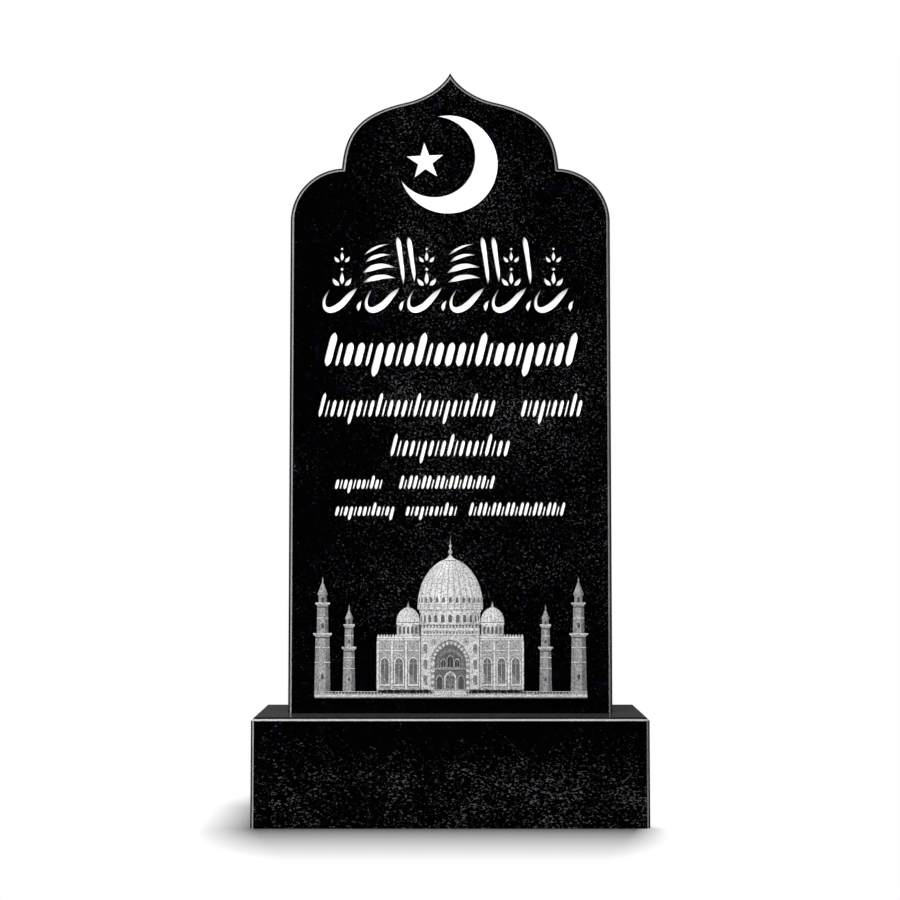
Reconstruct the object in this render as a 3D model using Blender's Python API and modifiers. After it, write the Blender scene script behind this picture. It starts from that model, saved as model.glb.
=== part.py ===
"""Arched granite headstone: a chamfered stele with a carved face, standing on a plain base block.

The front looks along -Y, +Z is up, and the origin is the middle of the base's underside.
"""

import itertools
import math

import bmesh
import bpy
from mathutils import Vector
from mathutils.geometry import interpolate_bezier, intersect_line_line_2d

MM = 0.001

# Base block
BASE_WIDTH = 600 * MM
BASE_DEPTH = 200 * MM
BASE_HEIGHT = 165 * MM
BASE_CHAMFER = 5 * MM

# Stele, measured from the top of the base
STELE_WIDTH = 500 * MM
STELE_HEIGHT = 1000 * MM
STELE_THICKNESS = 80 * MM
STELE_CHAMFER = 5 * MM
SEAT_GAP = 0.3 * MM

# Arched head: an ogee crown between two notches, then a round shoulder on each side
CROWN_HALF_WIDTH = 170 * MM
CROWN_HEIGHT = 152 * MM
SHOULDER_RADIUS = 84.5 * MM
OGEE_TURN_OUT = 70.5 * MM
OGEE_TURN_DROP = 47.5 * MM
OGEE_TURN_SLOPE = math.radians(12.6)
OGEE_REACH_IN = 33 * MM
OGEE_REACH_OUT = 82.5 * MM
APEX_HANDLE = (11 * MM, 21.5 * MM)
NOTCH_HANDLE = (4 * MM, 48.5 * MM)
OGEE_STEPS = 14
SHOULDER_STEPS = 14

# Carving, cut square into the front face; a drop is measured down from the apex
CARVE_DEPTH = 2 * MM
CUTTER_CLEAR = 3 * MM

CRESCENT_X = -3.5 * MM
CRESCENT_DROP = 146.5 * MM
CRESCENT_RADIUS = 77.5 * MM
HOLLOW_RADIUS = 64 * MM
HOLLOW_SHIFT = (-21.5 * MM, 12 * MM)
CRESCENT_STEPS = 40

STAR_SHIFT = (-36 * MM, 4.5 * MM)
STAR_RADIUS = 30 * MM
STAR_WAIST = 0.39
STAR_LEAN = math.radians(2.7)

# The strokes of the band and the rows are worked out in millimetres, from here to the end.

# Band under the emblem: bowls at an even pitch, some with tall blades beside them
BAND_DROP = 380
BAND_LEFT = -187
BAND_PITCH = 66
BLADES = (0, 2, 0, 2, 1, 0)
BLADE_TOP = 119
BLADE_SPACING = 17

# Rows of leaning strokes under the band. Each mark: its foot and its top as shares of a short stroke's
# height, its share of the row's half width, and its share of the row's spacing.
MARKS = {
    "tall": (0.0, 1.42, 1.0, 1.0),
    "short": (0.0, 1.0, 1.0, 1.0),
    "dropped": (-0.44, 1.0, 1.0, 1.0),
    "narrow": (0.0, 1.0, 0.45, 0.72),
}
RHYTHMS = {
    "long": ("tall", "narrow", "short", "short", "narrow", "dropped", "short", "narrow", "short", "tall",
             "narrow", "short", "short", "short", "narrow"),
    "even": ("short", "narrow", "short", "dropped", "narrow", "short", "short", "narrow", "tall"),
    "high": ("tall", "narrow", "tall"),
}
# Each row: baseline drop, height of a short stroke, half width of a stroke, spacing of strokes,
# then (left, right, rhythm) of each group.
INSCRIPTION = (
    (463.9, 37.0, 5.2, 17.0, ((-201, 200, "long"),)),
    (543.0, 26.4, 2.6, 10.5, ((-209, 74, "long"), (106, 209, "even"))),
    (604.5, 25.0, 2.6, 10.5, ((-97, 96, "long"),)),
    (655.1, 15.0, 2.2, 7.5, ((-181, -103, "even"), (-82, 70, "high"))),
    (696.8, 15.0, 2.2, 7.5, ((-181, -84, "even"), (-72, 13, "even"), (26, 179, "high"))),
)
ROW_LEAN = math.tan(math.radians(14))

GRANITE_COLOUR = (0.012, 0.012, 0.013, 1.0)


def clear_scene():
    for old in list(bpy.data.objects):
        bpy.data.objects.remove(old, do_unlink=True)


def new_collection(name):
    made = bpy.data.collections.new(name)
    bpy.context.scene.collection.children.link(made)
    return made


def polished_granite(name):
    made = bpy.data.materials.new(name)
    made.use_nodes = True
    surface = made.node_tree.nodes["Principled BSDF"]
    surface.inputs["Base Color"].default_value = GRANITE_COLOUR
    surface.inputs["Roughness"].default_value = 0.12
    surface.inputs["Metallic"].default_value = 0.0
    made.diffuse_color = GRANITE_COLOUR
    return made


# Outlines are lists of (x, z) points, with z measured up from the underside of the stele.


def arc(centre, radius, start, end, steps):
    cx, cz = centre
    angles = [start + (end - start) * k / steps for k in range(steps + 1)]
    return [(cx + radius * math.cos(a), cz + radius * math.sin(a)) for a in angles]


def crown_half():
    """Right half of the ogee crown, from the apex to the notch."""
    apex = Vector((0, STELE_HEIGHT))
    turn = Vector((OGEE_TURN_OUT, STELE_HEIGHT - OGEE_TURN_DROP))
    notch = Vector((CROWN_HALF_WIDTH, STELE_HEIGHT - CROWN_HEIGHT))
    slope = Vector((math.cos(OGEE_TURN_SLOPE), -math.sin(OGEE_TURN_SLOPE)))
    from_apex = apex + Vector((APEX_HANDLE[0], -APEX_HANDLE[1]))
    to_notch = notch + Vector((-NOTCH_HANDLE[0], NOTCH_HANDLE[1]))
    hollow = interpolate_bezier(apex, from_apex, turn - OGEE_REACH_IN * slope, turn, OGEE_STEPS + 1)
    rounded = interpolate_bezier(turn, turn + OGEE_REACH_OUT * slope, to_notch, notch, OGEE_STEPS + 1)
    return [(p.x, p.y) for p in hollow + rounded[1:]]


def shoulder():
    """Right shoulder, from beside the notch to the stele's side."""
    centre_x = STELE_WIDTH / 2 - SHOULDER_RADIUS
    reach = max(0.0, min(1.0, (CROWN_HALF_WIDTH - centre_x) / SHOULDER_RADIUS))
    start = math.acos(reach)
    centre_z = STELE_HEIGHT - CROWN_HEIGHT - SHOULDER_RADIUS * math.sin(start)
    return arc((centre_x, centre_z), SHOULDER_RADIUS, start, 0.0, SHOULDER_STEPS)


def right_outline():
    """Right half of the stele's outline, from the apex to the foot."""
    crown = crown_half()
    side = shoulder()
    meets = abs(side[0][0] - crown[-1][0]) < 0.1 * MM
    return crown + (side[1:] if meets else side) + [(STELE_WIDTH / 2, 0.0)]


def inset_right(outline, width):
    """The same points moved in square to the outline, mitred at the notch and where both halves meet."""
    moved = []
    last = len(outline) - 1
    for k, point in enumerate(outline):
        here = Vector(point)
        before = here - Vector(outline[k - 1]) if k else Vector(outline[1]) - here
        after = Vector(outline[k + 1]) - here if k < last else before
        inward = [Vector((d.y, -d.x)).normalized() for d in (before, after)]
        mitre = (inward[0] + inward[1]).normalized()
        moved.append(here + mitre * width / mitre.dot(inward[0]))
    crossing = next(k for k in range(last) if moved[k].x <= 0 < moved[k + 1].x)
    middle_line = Vector((0, 0)), Vector((0, STELE_HEIGHT))
    tip = intersect_line_line_2d(moved[crossing], moved[crossing + 1], *middle_line)
    return [(0.0, tip.y)] * (crossing + 1) + [(p.x, p.y) for p in moved[crossing + 1:]]


def mirrored(half):
    """A closed ring from a right half that starts on the middle line."""
    return half + [(-x, z) for x, z in reversed(half[1:])]


def crescent_outline():
    """The outer circle less a smaller, shifted one, from horn to horn."""
    cx, cz = CRESCENT_X, STELE_HEIGHT - CRESCENT_DROP
    gap = math.hypot(*HOLLOW_SHIFT)
    towards = math.atan2(HOLLOW_SHIFT[1], HOLLOW_SHIFT[0])
    along = (CRESCENT_RADIUS**2 - HOLLOW_RADIUS**2 + gap**2) / (2 * gap)
    outer_half = math.acos(along / CRESCENT_RADIUS)
    inner_half = math.acos((along - gap) / HOLLOW_RADIUS)
    outer_ends = towards + outer_half, towards + math.tau - outer_half
    inner_ends = towards - inner_half, towards - math.tau + inner_half
    hollow_centre = (cx + HOLLOW_SHIFT[0], cz + HOLLOW_SHIFT[1])
    outer = arc((cx, cz), CRESCENT_RADIUS, *outer_ends, CRESCENT_STEPS)
    inner = arc(hollow_centre, HOLLOW_RADIUS, *inner_ends, CRESCENT_STEPS)
    return outer + inner[1:-1]


def star_outline():
    cx = CRESCENT_X + STAR_SHIFT[0]
    cz = STELE_HEIGHT - CRESCENT_DROP + STAR_SHIFT[1]
    points = []
    for k in range(10):
        angle = math.pi / 2 + STAR_LEAN + k * math.pi / 5
        radius = STAR_RADIUS * (STAR_WAIST if k % 2 else 1.0)
        points.append((cx + radius * math.cos(angle), cz + radius * math.sin(angle)))
    return points


# Strokes are lists of (x, z) points in millimetres, worked out from (x, z, half width) stations.


def brush(middle, half_widths):
    """Outline of a stroke along a middle line; a half width of zero makes a point."""
    left, right = [], []
    last = len(middle) - 1
    for k, (x, z) in enumerate(middle):
        before, after = middle[max(k - 1, 0)], middle[min(k + 1, last)]
        dx, dz = after[0] - before[0], after[1] - before[1]
        half = half_widths[k] / math.hypot(dx, dz)
        left.append((x - dz * half, z + dx * half))
        if half > 0:
            right.append((x + dz * half, z - dx * half))
    return left + right[::-1]


def smooth_through(stations, steps):
    """Points along a smooth curve through the stations."""
    last = len(stations) - 1
    made = []
    for k in range(last):
        a, b = stations[max(k - 1, 0)], stations[k]
        c, d = stations[k + 1], stations[min(k + 2, last)]
        for t in (s / steps for s in range(steps)):
            made.append([
                q + 0.5 * ((r - p) * t + (2 * p - 5 * q + 4 * r - w) * t**2 + (3 * q - p - 3 * r + w) * t**3)
                for p, q, r, w in zip(a, b, c, d)
            ])
    made.append(list(stations[last]))
    return made


def pen_stroke(stations, steps=2):
    """A stroke through the stations, pointed at both ends."""
    points = smooth_through(stations, steps)
    half_widths = [0.0] + [max(p[2], 0.3) for p in points[1:-1]] + [0.0]
    return brush([(x, z) for x, z, _ in points], half_widths)


def leaning_stroke(foot, top, half_width):
    """A straight leaning stroke of even width, pointed at both ends."""
    middle, half_widths = [], []
    for t, share in ((0, 0), (0.14, 0.92), (0.5, 1), (0.86, 0.92), (1, 0)):
        z = foot + (top - foot) * t
        middle.append((ROW_LEAN * z, z))
        half_widths.append(half_width * share)
    return brush(middle, half_widths)


def diamond(x, z, half_width):
    return [(x + half_width, z), (x, z + half_width), (x - half_width, z), (x, z - half_width)]


def group_marks(rhythm, slots):
    """The marks of one group, its rhythm over and over until the slots are filled, and their total."""
    marks = []
    filled = 0.0
    for name in itertools.cycle(RHYTHMS[rhythm]):
        if filled + MARKS[name][3] > slots:
            return marks, filled
        marks.append(MARKS[name])
        filled += MARKS[name][3]


def row_strokes():
    """Every stroke of the rows, with z measured from the apex."""
    strokes = []
    for drop, height, half_width, spacing, groups in INSCRIPTION:
        for left, right, rhythm in groups:
            width = right - left - ROW_LEAN * height
            marks, filled = group_marks(rhythm, width / spacing)
            x = left
            for foot, top, weight, share in marks:
                advance = share * width / filled
                stroke = leaning_stroke(foot * height, top * height, weight * half_width)
                strokes.append([(x + advance / 2 + px, pz - drop) for px, pz in stroke])
                x += advance
    return strokes


def bowl(x):
    """A long stroke that sweeps down to the left and turns up in a thin tail."""
    return pen_stroke([(x + 42, 39, 0), (x + 31, 28, 3.8), (x + 15, 11, 5.0), (x, 4, 4.4), (x - 9, 9, 2.6),
                       (x - 9, 22, 1.7), (x - 1, 37, 0)])


def blade(x, foot):
    """A tall stroke that leans back, pointed at the top and the foot."""
    return pen_stroke([(x - 4, BLADE_TOP, 0), (x - 2, BLADE_TOP - 9, 3.6), (x + 2, BLADE_TOP - 37, 3.1),
                       (x + 5, foot + 14, 2.5), (x + 6, foot, 0)])


def leaf(x, z, length, angle, half_width, bow):
    """A leaf that rises from (x, z) at this angle in degrees, bowed to its left by this share."""
    across, up = math.cos(math.radians(angle)), math.sin(math.radians(angle))
    stations = []
    for t, share in ((0, 0), (0.3, 1), (0.65, 0.8), (1, 0)):
        along, aside = length * t, bow * length * math.sin(math.pi * t)
        stations.append((x + along * across - aside * up, z + along * up + aside * across, half_width * share))
    return pen_stroke(stations)


def feather(x):
    """Long leaves one above the other, between a bowl and the top of the band."""
    return [
        leaf(x - 15, 47, 52, 8, 3.8, 0.10),
        leaf(x - 16, 62, 52, 10, 4.2, 0.12),
        leaf(x - 12, 79, 42, 16, 2.6, 0.10),
        leaf(x - 14, 90, 44, 24, 1.7, 0.08),
    ]


def palmette(x, z, length, half_width):
    """Three leaves that spread from one point, with a small diamond over them."""
    strokes = [diamond(x, z + length + 10, 0.9 * half_width)]
    for turn in (-42, 0, 42):
        angle = math.radians(90 + turn)
        foot_x, foot_z = x + 6 * math.cos(angle), z + 6 * math.sin(angle)
        strokes.append(leaf(foot_x, foot_z, length * (0.8 if turn else 1.0), 90 + turn, half_width, turn / 500))
    return strokes


def band_strokes():
    """Every stroke of the band, with z up from its foot."""
    strokes = []
    for k, blades in enumerate(BLADES):
        x = BAND_LEFT + k * BAND_PITCH
        strokes.append(bowl(x))
        strokes += [blade(x + 42 + BLADE_SPACING * n, 44 + 3 * n) for n in range(blades)]
        if blades > 1:
            strokes += feather(x)
        else:
            strokes += palmette(x + 18, 38, 20, 2.9) + palmette(x + 18, 75, 15, 2.3)
        strokes.append(leaf(x + 44, 2, 18, 72, 2.6, 0.14))
    return strokes


def on_face(strokes, origin_drop):
    """Outlines in metres from strokes in millimetres, whose z = 0 lies this far below the apex."""
    return [[(x * MM, STELE_HEIGHT + (z - origin_drop) * MM) for x, z in stroke] for stroke in strokes]


def flat_solid(name, outlines, half_thickness, collection):
    """Upright plates of these outlines, as one welded mesh object centred on y = 0."""
    data = bpy.data.curves.new(name, "CURVE")
    data.dimensions = "2D"
    data.fill_mode = "BOTH"
    data.extrude = half_thickness
    for outline in outlines:
        spline = data.splines.new("POLY")
        spline.points.add(len(outline) - 1)
        for point, (x, z) in zip(spline.points, outline):
            point.co = (x, z, 0.0, 1.0)
        spline.use_cyclic_u = True
    guide = bpy.data.objects.new(name + "_outline", data)
    collection.objects.link(guide)
    guide.rotation_euler = (math.pi / 2, 0.0, 0.0)
    bpy.context.view_layer.update()
    graph = bpy.context.evaluated_depsgraph_get()
    mesh = bpy.data.meshes.new_from_object(guide.evaluated_get(graph))
    work = bmesh.new()
    work.from_mesh(mesh)
    bmesh.ops.remove_doubles(work, verts=work.verts, dist=0.01 * MM)
    bmesh.ops.recalc_face_normals(work, faces=work.faces)
    work.to_mesh(mesh)
    work.free()
    mesh.name = name
    made = bpy.data.objects.new(name, mesh)
    made.matrix_world = guide.matrix_world.copy()
    collection.objects.link(made)
    bpy.data.objects.remove(guide, do_unlink=True)
    return made


def carve(obj, name, outlines, cutters):
    """Cuts the outlines CARVE_DEPTH deep into the front face."""
    front = -STELE_THICKNESS / 2
    half = (CARVE_DEPTH + CUTTER_CLEAR) / 2
    cutter = flat_solid(name, outlines, half, cutters)
    cutter.location = obj.location + Vector((0.0, front + CARVE_DEPTH - half, 0.0))
    cutter.hide_render = True
    cutter.display_type = "WIRE"
    cut = obj.modifiers.new(name, "BOOLEAN")
    cut.operation = "DIFFERENCE"
    cut.object = cutter


def shade(obj, material):
    obj.data.materials.clear()
    obj.data.materials.append(material)
    obj.data.shade_smooth()
    obj.data.set_sharp_from_angle(angle=math.radians(20))


def make_base(parts):
    mesh = bpy.data.meshes.new("base")
    work = bmesh.new()
    bmesh.ops.create_cube(work, size=1.0)
    bmesh.ops.scale(work, verts=work.verts, vec=(BASE_WIDTH, BASE_DEPTH, BASE_HEIGHT))
    weight = work.edges.layers.float.new("bevel_weight_edge")
    for edge in work.edges:
        on_underside = all(v.co.z < 0 for v in edge.verts)
        edge[weight] = 0.0 if on_underside else 1.0
    work.to_mesh(mesh)
    work.free()
    base = bpy.data.objects.new("base", mesh)
    base.location.z = BASE_HEIGHT / 2
    parts.objects.link(base)
    chamfer = base.modifiers.new("Chamfer", "BEVEL")
    chamfer.limit_method = "WEIGHT"
    chamfer.width = BASE_CHAMFER
    chamfer.segments = 1
    shade(base, polished_granite("base_granite"))
    return base


def stele_block():
    """The uncarved slab, from four rings: the full outline, and one inset by the chamfer on each face."""
    half = STELE_THICKNESS / 2
    right = right_outline()
    full = mirrored(right)
    inset = mirrored(inset_right(right, STELE_CHAMFER))
    work = bmesh.new()
    rings = []
    for outline, y in ((inset, -half), (full, STELE_CHAMFER - half), (full, half - STELE_CHAMFER), (inset, half)):
        rings.append([work.verts.new((x, y, z)) for x, z in outline])
    right_foot = len(right) - 1
    left_foot = right_foot + 1
    for ring, following in zip(rings, rings[1:]):
        for k in range(len(full)):
            if k != right_foot:
                after = (k + 1) % len(full)
                work.faces.new((ring[k], ring[after], following[after], following[k]))
    work.faces.new([ring[right_foot] for ring in rings] + [ring[left_foot] for ring in reversed(rings)])
    work.faces.new(rings[0])
    work.faces.new(rings[-1])
    bmesh.ops.remove_doubles(work, verts=work.verts, dist=0.01 * MM)
    bmesh.ops.recalc_face_normals(work, faces=work.faces)
    mesh = bpy.data.meshes.new("stele")
    work.to_mesh(mesh)
    work.free()
    return mesh


def make_stele(parts, cutters):
    stele = bpy.data.objects.new("stele", stele_block())
    stele.location.z = BASE_HEIGHT + SEAT_GAP
    parts.objects.link(stele)
    carve(stele, "emblem_cutter", [crescent_outline(), star_outline()], cutters)
    carve(stele, "band_cutter", on_face(band_strokes(), BAND_DROP), cutters)
    carve(stele, "inscription_cutter", on_face(row_strokes(), 0.0), cutters)
    shade(stele, polished_granite("stele_granite"))
    return stele


def main():
    clear_scene()
    parts = new_collection("headstone")
    cutters = new_collection("cutters")
    make_base(parts)
    make_stele(parts, cutters)
    bpy.context.view_layer.update()


main()
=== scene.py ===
"""Dresses the arched granite headstone: a carved, painted and etched stele, its base block and a stage."""

import itertools
import math

import bmesh
import bpy
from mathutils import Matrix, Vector
from mathutils.geometry import delaunay_2d_cdt, interpolate_bezier, intersect_line_line_2d


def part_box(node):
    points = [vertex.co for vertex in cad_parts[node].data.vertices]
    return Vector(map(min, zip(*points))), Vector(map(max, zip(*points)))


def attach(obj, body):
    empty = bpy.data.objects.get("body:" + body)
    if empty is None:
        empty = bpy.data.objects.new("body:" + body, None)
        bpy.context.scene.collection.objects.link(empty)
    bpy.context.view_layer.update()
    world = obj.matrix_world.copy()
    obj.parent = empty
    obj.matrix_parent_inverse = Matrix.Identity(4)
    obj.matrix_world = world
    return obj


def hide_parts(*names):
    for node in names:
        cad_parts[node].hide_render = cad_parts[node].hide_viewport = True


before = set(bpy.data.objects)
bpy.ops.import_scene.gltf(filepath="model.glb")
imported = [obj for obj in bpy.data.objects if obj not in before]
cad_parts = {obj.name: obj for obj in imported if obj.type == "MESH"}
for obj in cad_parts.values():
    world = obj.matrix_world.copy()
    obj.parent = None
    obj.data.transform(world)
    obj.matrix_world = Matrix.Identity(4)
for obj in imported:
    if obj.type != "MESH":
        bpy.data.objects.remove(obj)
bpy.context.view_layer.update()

bl_info = {
    "name": "Arched granite headstone",
    "version": (1, 0, 0),
    "blender": (4, 5, 0),
    "location": "View3D > Sidebar > Headstone",
    "description": "Builds the carved stele, its base block and a plain studio stage",
    "category": "Object",
}

MM = 0.001

# Material slots of the stele's mesh; the base's has the first two
POLISHED, HONED_AND_HIGHLIGHT, PAINTED, ETCHED = range(4)


class HeadstoneShape(bpy.types.PropertyGroup):
    """Sizes of the slab's outline, its chamfer and its emblem; a drop is measured down from the apex."""

    chamfer: bpy.props.FloatProperty(
        name="Chamfer", description="Width of the chamfers on slab and base, on each face",
        default=5 * MM, min=0.0, unit="LENGTH")
    # A chamfer's honed grey is the stone's unpolished finish and also stands in as a painted highlight line
    # along the edge
    honed_share: bpy.props.FloatProperty(
        name="Honed share",
        description="Share of the base's chamfer that is honed grey, the rest being polished",
        default=0.5, min=0.0, max=1.0, subtype="FACTOR")
    polished_rim: bpy.props.FloatProperty(
        name="Polished rim", description="Width of the polished outer part of the slab's chamfer",
        default=3.2 * MM, unit="LENGTH")
    # The honed line runs on over the flat face to widen the painted highlight line
    honed_highlight_lip: bpy.props.FloatProperty(
        name="Honed lip", description="How far the slab's honed line goes on over its faces",
        default=0.7 * MM, unit="LENGTH")
    crown_half_width: bpy.props.FloatProperty(
        name="Crown half width", description="From the middle line to a notch",
        default=170 * MM, unit="LENGTH")
    crown_height: bpy.props.FloatProperty(
        name="Crown height", description="From the apex down to the notches", default=152 * MM, unit="LENGTH")
    shoulder_radius: bpy.props.FloatProperty(
        name="Shoulder radius", description="Radius of the round shoulders",
        default=84.5 * MM, unit="LENGTH")
    ogee_turn: bpy.props.FloatVectorProperty(
        name="Ogee turn",
        description="Where the ogee changes its bend: out from the middle, down from the apex",
        size=2, default=(70.5 * MM, 47.5 * MM), unit="LENGTH")
    ogee_slope: bpy.props.FloatProperty(
        name="Ogee slope", description="Slope of the ogee where it changes its bend",
        default=math.radians(12.6), subtype="ANGLE")
    ogee_reach: bpy.props.FloatVectorProperty(
        name="Ogee reach", description="Lengths of the curve handles towards the apex and towards the notch",
        size=2, default=(33 * MM, 82.5 * MM), unit="LENGTH")
    apex_handle: bpy.props.FloatVectorProperty(
        name="Apex handle", description="Curve handle at the apex: out and down",
        size=2, default=(11 * MM, 21.5 * MM), unit="LENGTH")
    notch_handle: bpy.props.FloatVectorProperty(
        name="Notch handle", description="Curve handle at the notch: in and up",
        size=2, default=(4 * MM, 48.5 * MM), unit="LENGTH")
    carve_depth: bpy.props.FloatProperty(
        name="Carving depth", description="Depth of every carved stroke", default=2 * MM, unit="LENGTH")
    carve_slope: bpy.props.FloatProperty(
        name="Carving slope", description="How far a stroke's floor lies inside its rim",
        default=0.6 * MM, unit="LENGTH")
    crescent_x: bpy.props.FloatProperty(
        name="Crescent offset", description="Middle of the crescent, from the middle line",
        default=-3.5 * MM, unit="LENGTH")
    crescent_drop: bpy.props.FloatProperty(
        name="Crescent drop", description="Middle of the crescent, down from the apex",
        default=146.5 * MM, unit="LENGTH")
    crescent_radius: bpy.props.FloatProperty(
        name="Crescent radius", description="Outer radius of the crescent",
        default=77.5 * MM, unit="LENGTH")
    hollow_radius: bpy.props.FloatProperty(
        name="Hollow radius", description="Inner radius of the crescent",
        default=64 * MM, unit="LENGTH")
    hollow_shift: bpy.props.FloatVectorProperty(
        name="Hollow shift", description="From the crescent's middle to the middle of its hollow",
        size=2, default=(-21.5 * MM, 12 * MM), unit="LENGTH")
    star_shift: bpy.props.FloatVectorProperty(
        name="Star shift", description="From the crescent's middle to the star's",
        size=2, default=(-36 * MM, 4.5 * MM), unit="LENGTH")
    star_radius: bpy.props.FloatProperty(
        name="Star radius", description="Middle to point of the star", default=30 * MM, unit="LENGTH")
    star_waist: bpy.props.FloatProperty(
        name="Star waist", description="Inner radius as a share of the outer one",
        default=0.39, subtype="FACTOR")
    star_lean: bpy.props.FloatProperty(
        name="Star lean", description="Turn of the star, anticlockwise",
        default=math.radians(2.7), subtype="ANGLE")


class HeadstoneFinish(bpy.types.PropertyGroup):
    """Colours and gloss of the stone, the paint and the etching."""

    granite: bpy.props.FloatVectorProperty(
        name="Granite", description="Ground colour of the polished stone",
        size=3, subtype="COLOR", default=(0.0002, 0.0002, 0.0003), min=0.0, max=1.0)
    blotch: bpy.props.FloatVectorProperty(
        name="Blotch", description="Colour of the dark blue blotches in the ground",
        size=3, subtype="COLOR", default=(0.0009, 0.0009, 0.0034), min=0.0, max=1.0)
    cold_grain: bpy.props.FloatVectorProperty(
        name="Cold grain", description="Colour of the bluish crystals",
        size=3, subtype="COLOR", default=(0.072, 0.074, 0.084), min=0.0, max=1.0)
    warm_grain: bpy.props.FloatVectorProperty(
        name="Warm grain", description="Colour of the yellowish crystals",
        size=3, subtype="COLOR", default=(0.080, 0.078, 0.070), min=0.0, max=1.0)
    # Honed grey, which also stands in as a painted highlight line along the chamfers
    honed: bpy.props.FloatVectorProperty(
        name="Honed edge and painted highlight", description="Colour of the unpolished chamfer",
        size=3, subtype="COLOR", default=(0.18, 0.18, 0.183), min=0.0, max=1.0)
    # Painted highlight: the base's chamfer is made paler where it faces up
    ledge_painted_highlight: bpy.props.FloatProperty(
        name="Ledge painted highlight", description="How much paler the base's chamfer is where it faces up",
        default=1.6, min=0.0)
    # Fine dust streaks plus a painted sheen: polished faces that look up are made paler
    film: bpy.props.FloatVectorProperty(
        name="Dust and painted sheen film", description="Colour that fine dust adds to polished faces that look up",
        size=3, subtype="COLOR", default=(0.068, 0.068, 0.070), min=0.0, max=1.0)
    paint: bpy.props.FloatVectorProperty(
        name="Paint", description="Colour of the paint in the carving",
        size=3, subtype="COLOR", default=(0.88, 0.88, 0.87), min=0.0, max=1.0)
    etched: bpy.props.FloatVectorProperty(
        name="Etching", description="Colour of the most deeply etched stone",
        size=3, subtype="COLOR", default=(0.66, 0.66, 0.66), min=0.0, max=1.0)
    gloss: bpy.props.FloatProperty(
        name="Polish roughness", description="Roughness of the polished faces",
        default=0.08, subtype="FACTOR")


class HeadstoneStage(bpy.types.PropertyGroup):
    """Camera, lights and floor."""

    camera_distance: bpy.props.FloatProperty(
        name="Camera distance", description="From the middle of the base to the camera, along the floor",
        default=2.577, unit="LENGTH")
    camera_height: bpy.props.FloatProperty(
        name="Camera height", description="Height of the camera above the floor",
        default=0.433, unit="LENGTH")
    camera_tilt: bpy.props.FloatProperty(
        name="Camera tilt", description="Upward tilt of the camera",
        default=math.radians(3.108), subtype="ANGLE")
    lens: bpy.props.FloatProperty(
        name="Lens", description="Focal length on a 36 mm sensor",
        default=65.5, subtype="DISTANCE_CAMERA")
    front_power: bpy.props.FloatProperty(
        name="Front light", description="Power of the light behind the camera",
        default=167.0, unit="POWER")
    key_power: bpy.props.FloatProperty(
        name="Key light", description="Power of the light on the left", default=35.0, unit="POWER")
    fill_power: bpy.props.FloatProperty(
        name="Fill light", description="Power of the light on the right", default=4.0, unit="POWER")
    top_power: bpy.props.FloatProperty(
        name="Top light", description="Power of the overhead light", default=25.0, unit="POWER")
    back_power: bpy.props.FloatProperty(
        name="Back light", description="Power of the light behind the object", default=40.0, unit="POWER")
    shadow_tone: bpy.props.FloatProperty(
        name="Shadow tone", description="Tone of the floor right beside the base",
        default=0.09, subtype="FACTOR")
    front_shadow: bpy.props.FloatProperty(
        name="Front shadow", description="Reach of the contact shadow in front and behind",
        default=0.25, unit="LENGTH")
    left_shadow: bpy.props.FloatProperty(
        name="Left shadow", description="Reach of the contact shadow on the left",
        default=0.085, unit="LENGTH")
    right_shadow: bpy.props.FloatProperty(
        name="Right shadow", description="Reach of the contact shadow beside the right front corner",
        default=0.045, unit="LENGTH")
    right_gap: bpy.props.FloatProperty(
        name="Right gap",
        description="How far the right shadow has drawn in at the middle of the base's side",
        default=0.055, unit="LENGTH")
    shadow_drift: bpy.props.FloatProperty(
        name="Shadow drift", description="How far the contact shadow is shifted to the left",
        default=0.007, unit="LENGTH")
    shadow_taper: bpy.props.FloatProperty(
        name="Shadow taper", description="How much further in it begins to fade at its far end",
        default=0.08, unit="LENGTH")
    shadow_inset: bpy.props.FloatProperty(
        name="Shadow inset", description="How far inside the base's ends the shadow begins to fade",
        default=0.015, unit="LENGTH")


def new_material(name):
    """(material, its nodes, its links, its Principled BSDF) for a fresh node material."""
    made = bpy.data.materials.new(name)
    made.use_nodes = True
    tree = made.node_tree
    return made, tree.nodes, tree.links, tree.nodes["Principled BSDF"]


def add_node(nodes, kind, **values):
    """A node with attributes and, for names that aren't attributes, socket values set."""
    node = nodes.new(kind)
    for name, value in values.items():
        if hasattr(node, name):
            setattr(node, name, value)
        else:
            node.inputs[name.replace("_", " ")].default_value = value
    return node


def plug(links, value, socket):
    """Links a socket or sets a plain number, vector or colour."""
    if isinstance(value, bpy.types.NodeSocket):
        links.new(value, socket)
    elif isinstance(value, (int, float)):
        socket.default_value = value
    else:
        socket.default_value = (*value, 1.0) if socket.type == "RGBA" else tuple(value)


def add_math(nodes, links, operation, *values, clamp=False):
    """The result of a sum on sockets and plain numbers."""
    node = nodes.new("ShaderNodeMath")
    node.operation = operation
    node.use_clamp = clamp
    for value, socket in zip(values, node.inputs):
        plug(links, value, socket)
    return node.outputs[0]


def add_product(nodes, links, a, b):
    """Two vectors or colours multiplied part by part."""
    node = add_node(nodes, "ShaderNodeVectorMath", operation="MULTIPLY")
    for value, socket in zip((a, b), node.inputs):
        plug(links, value, socket)
    return node.outputs["Vector"]


def add_range(nodes, links, value, low, high, to_low=0.0, to_high=1.0):
    """The value stretched from low and high to their new ends, and held there."""
    node = nodes.new("ShaderNodeMapRange")
    given = {"Value": value, "From Min": low, "From Max": high, "To Min": to_low, "To Max": to_high}
    for label, entry in given.items():
        plug(links, entry, node.inputs[label])
    return node.outputs[0]


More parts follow.
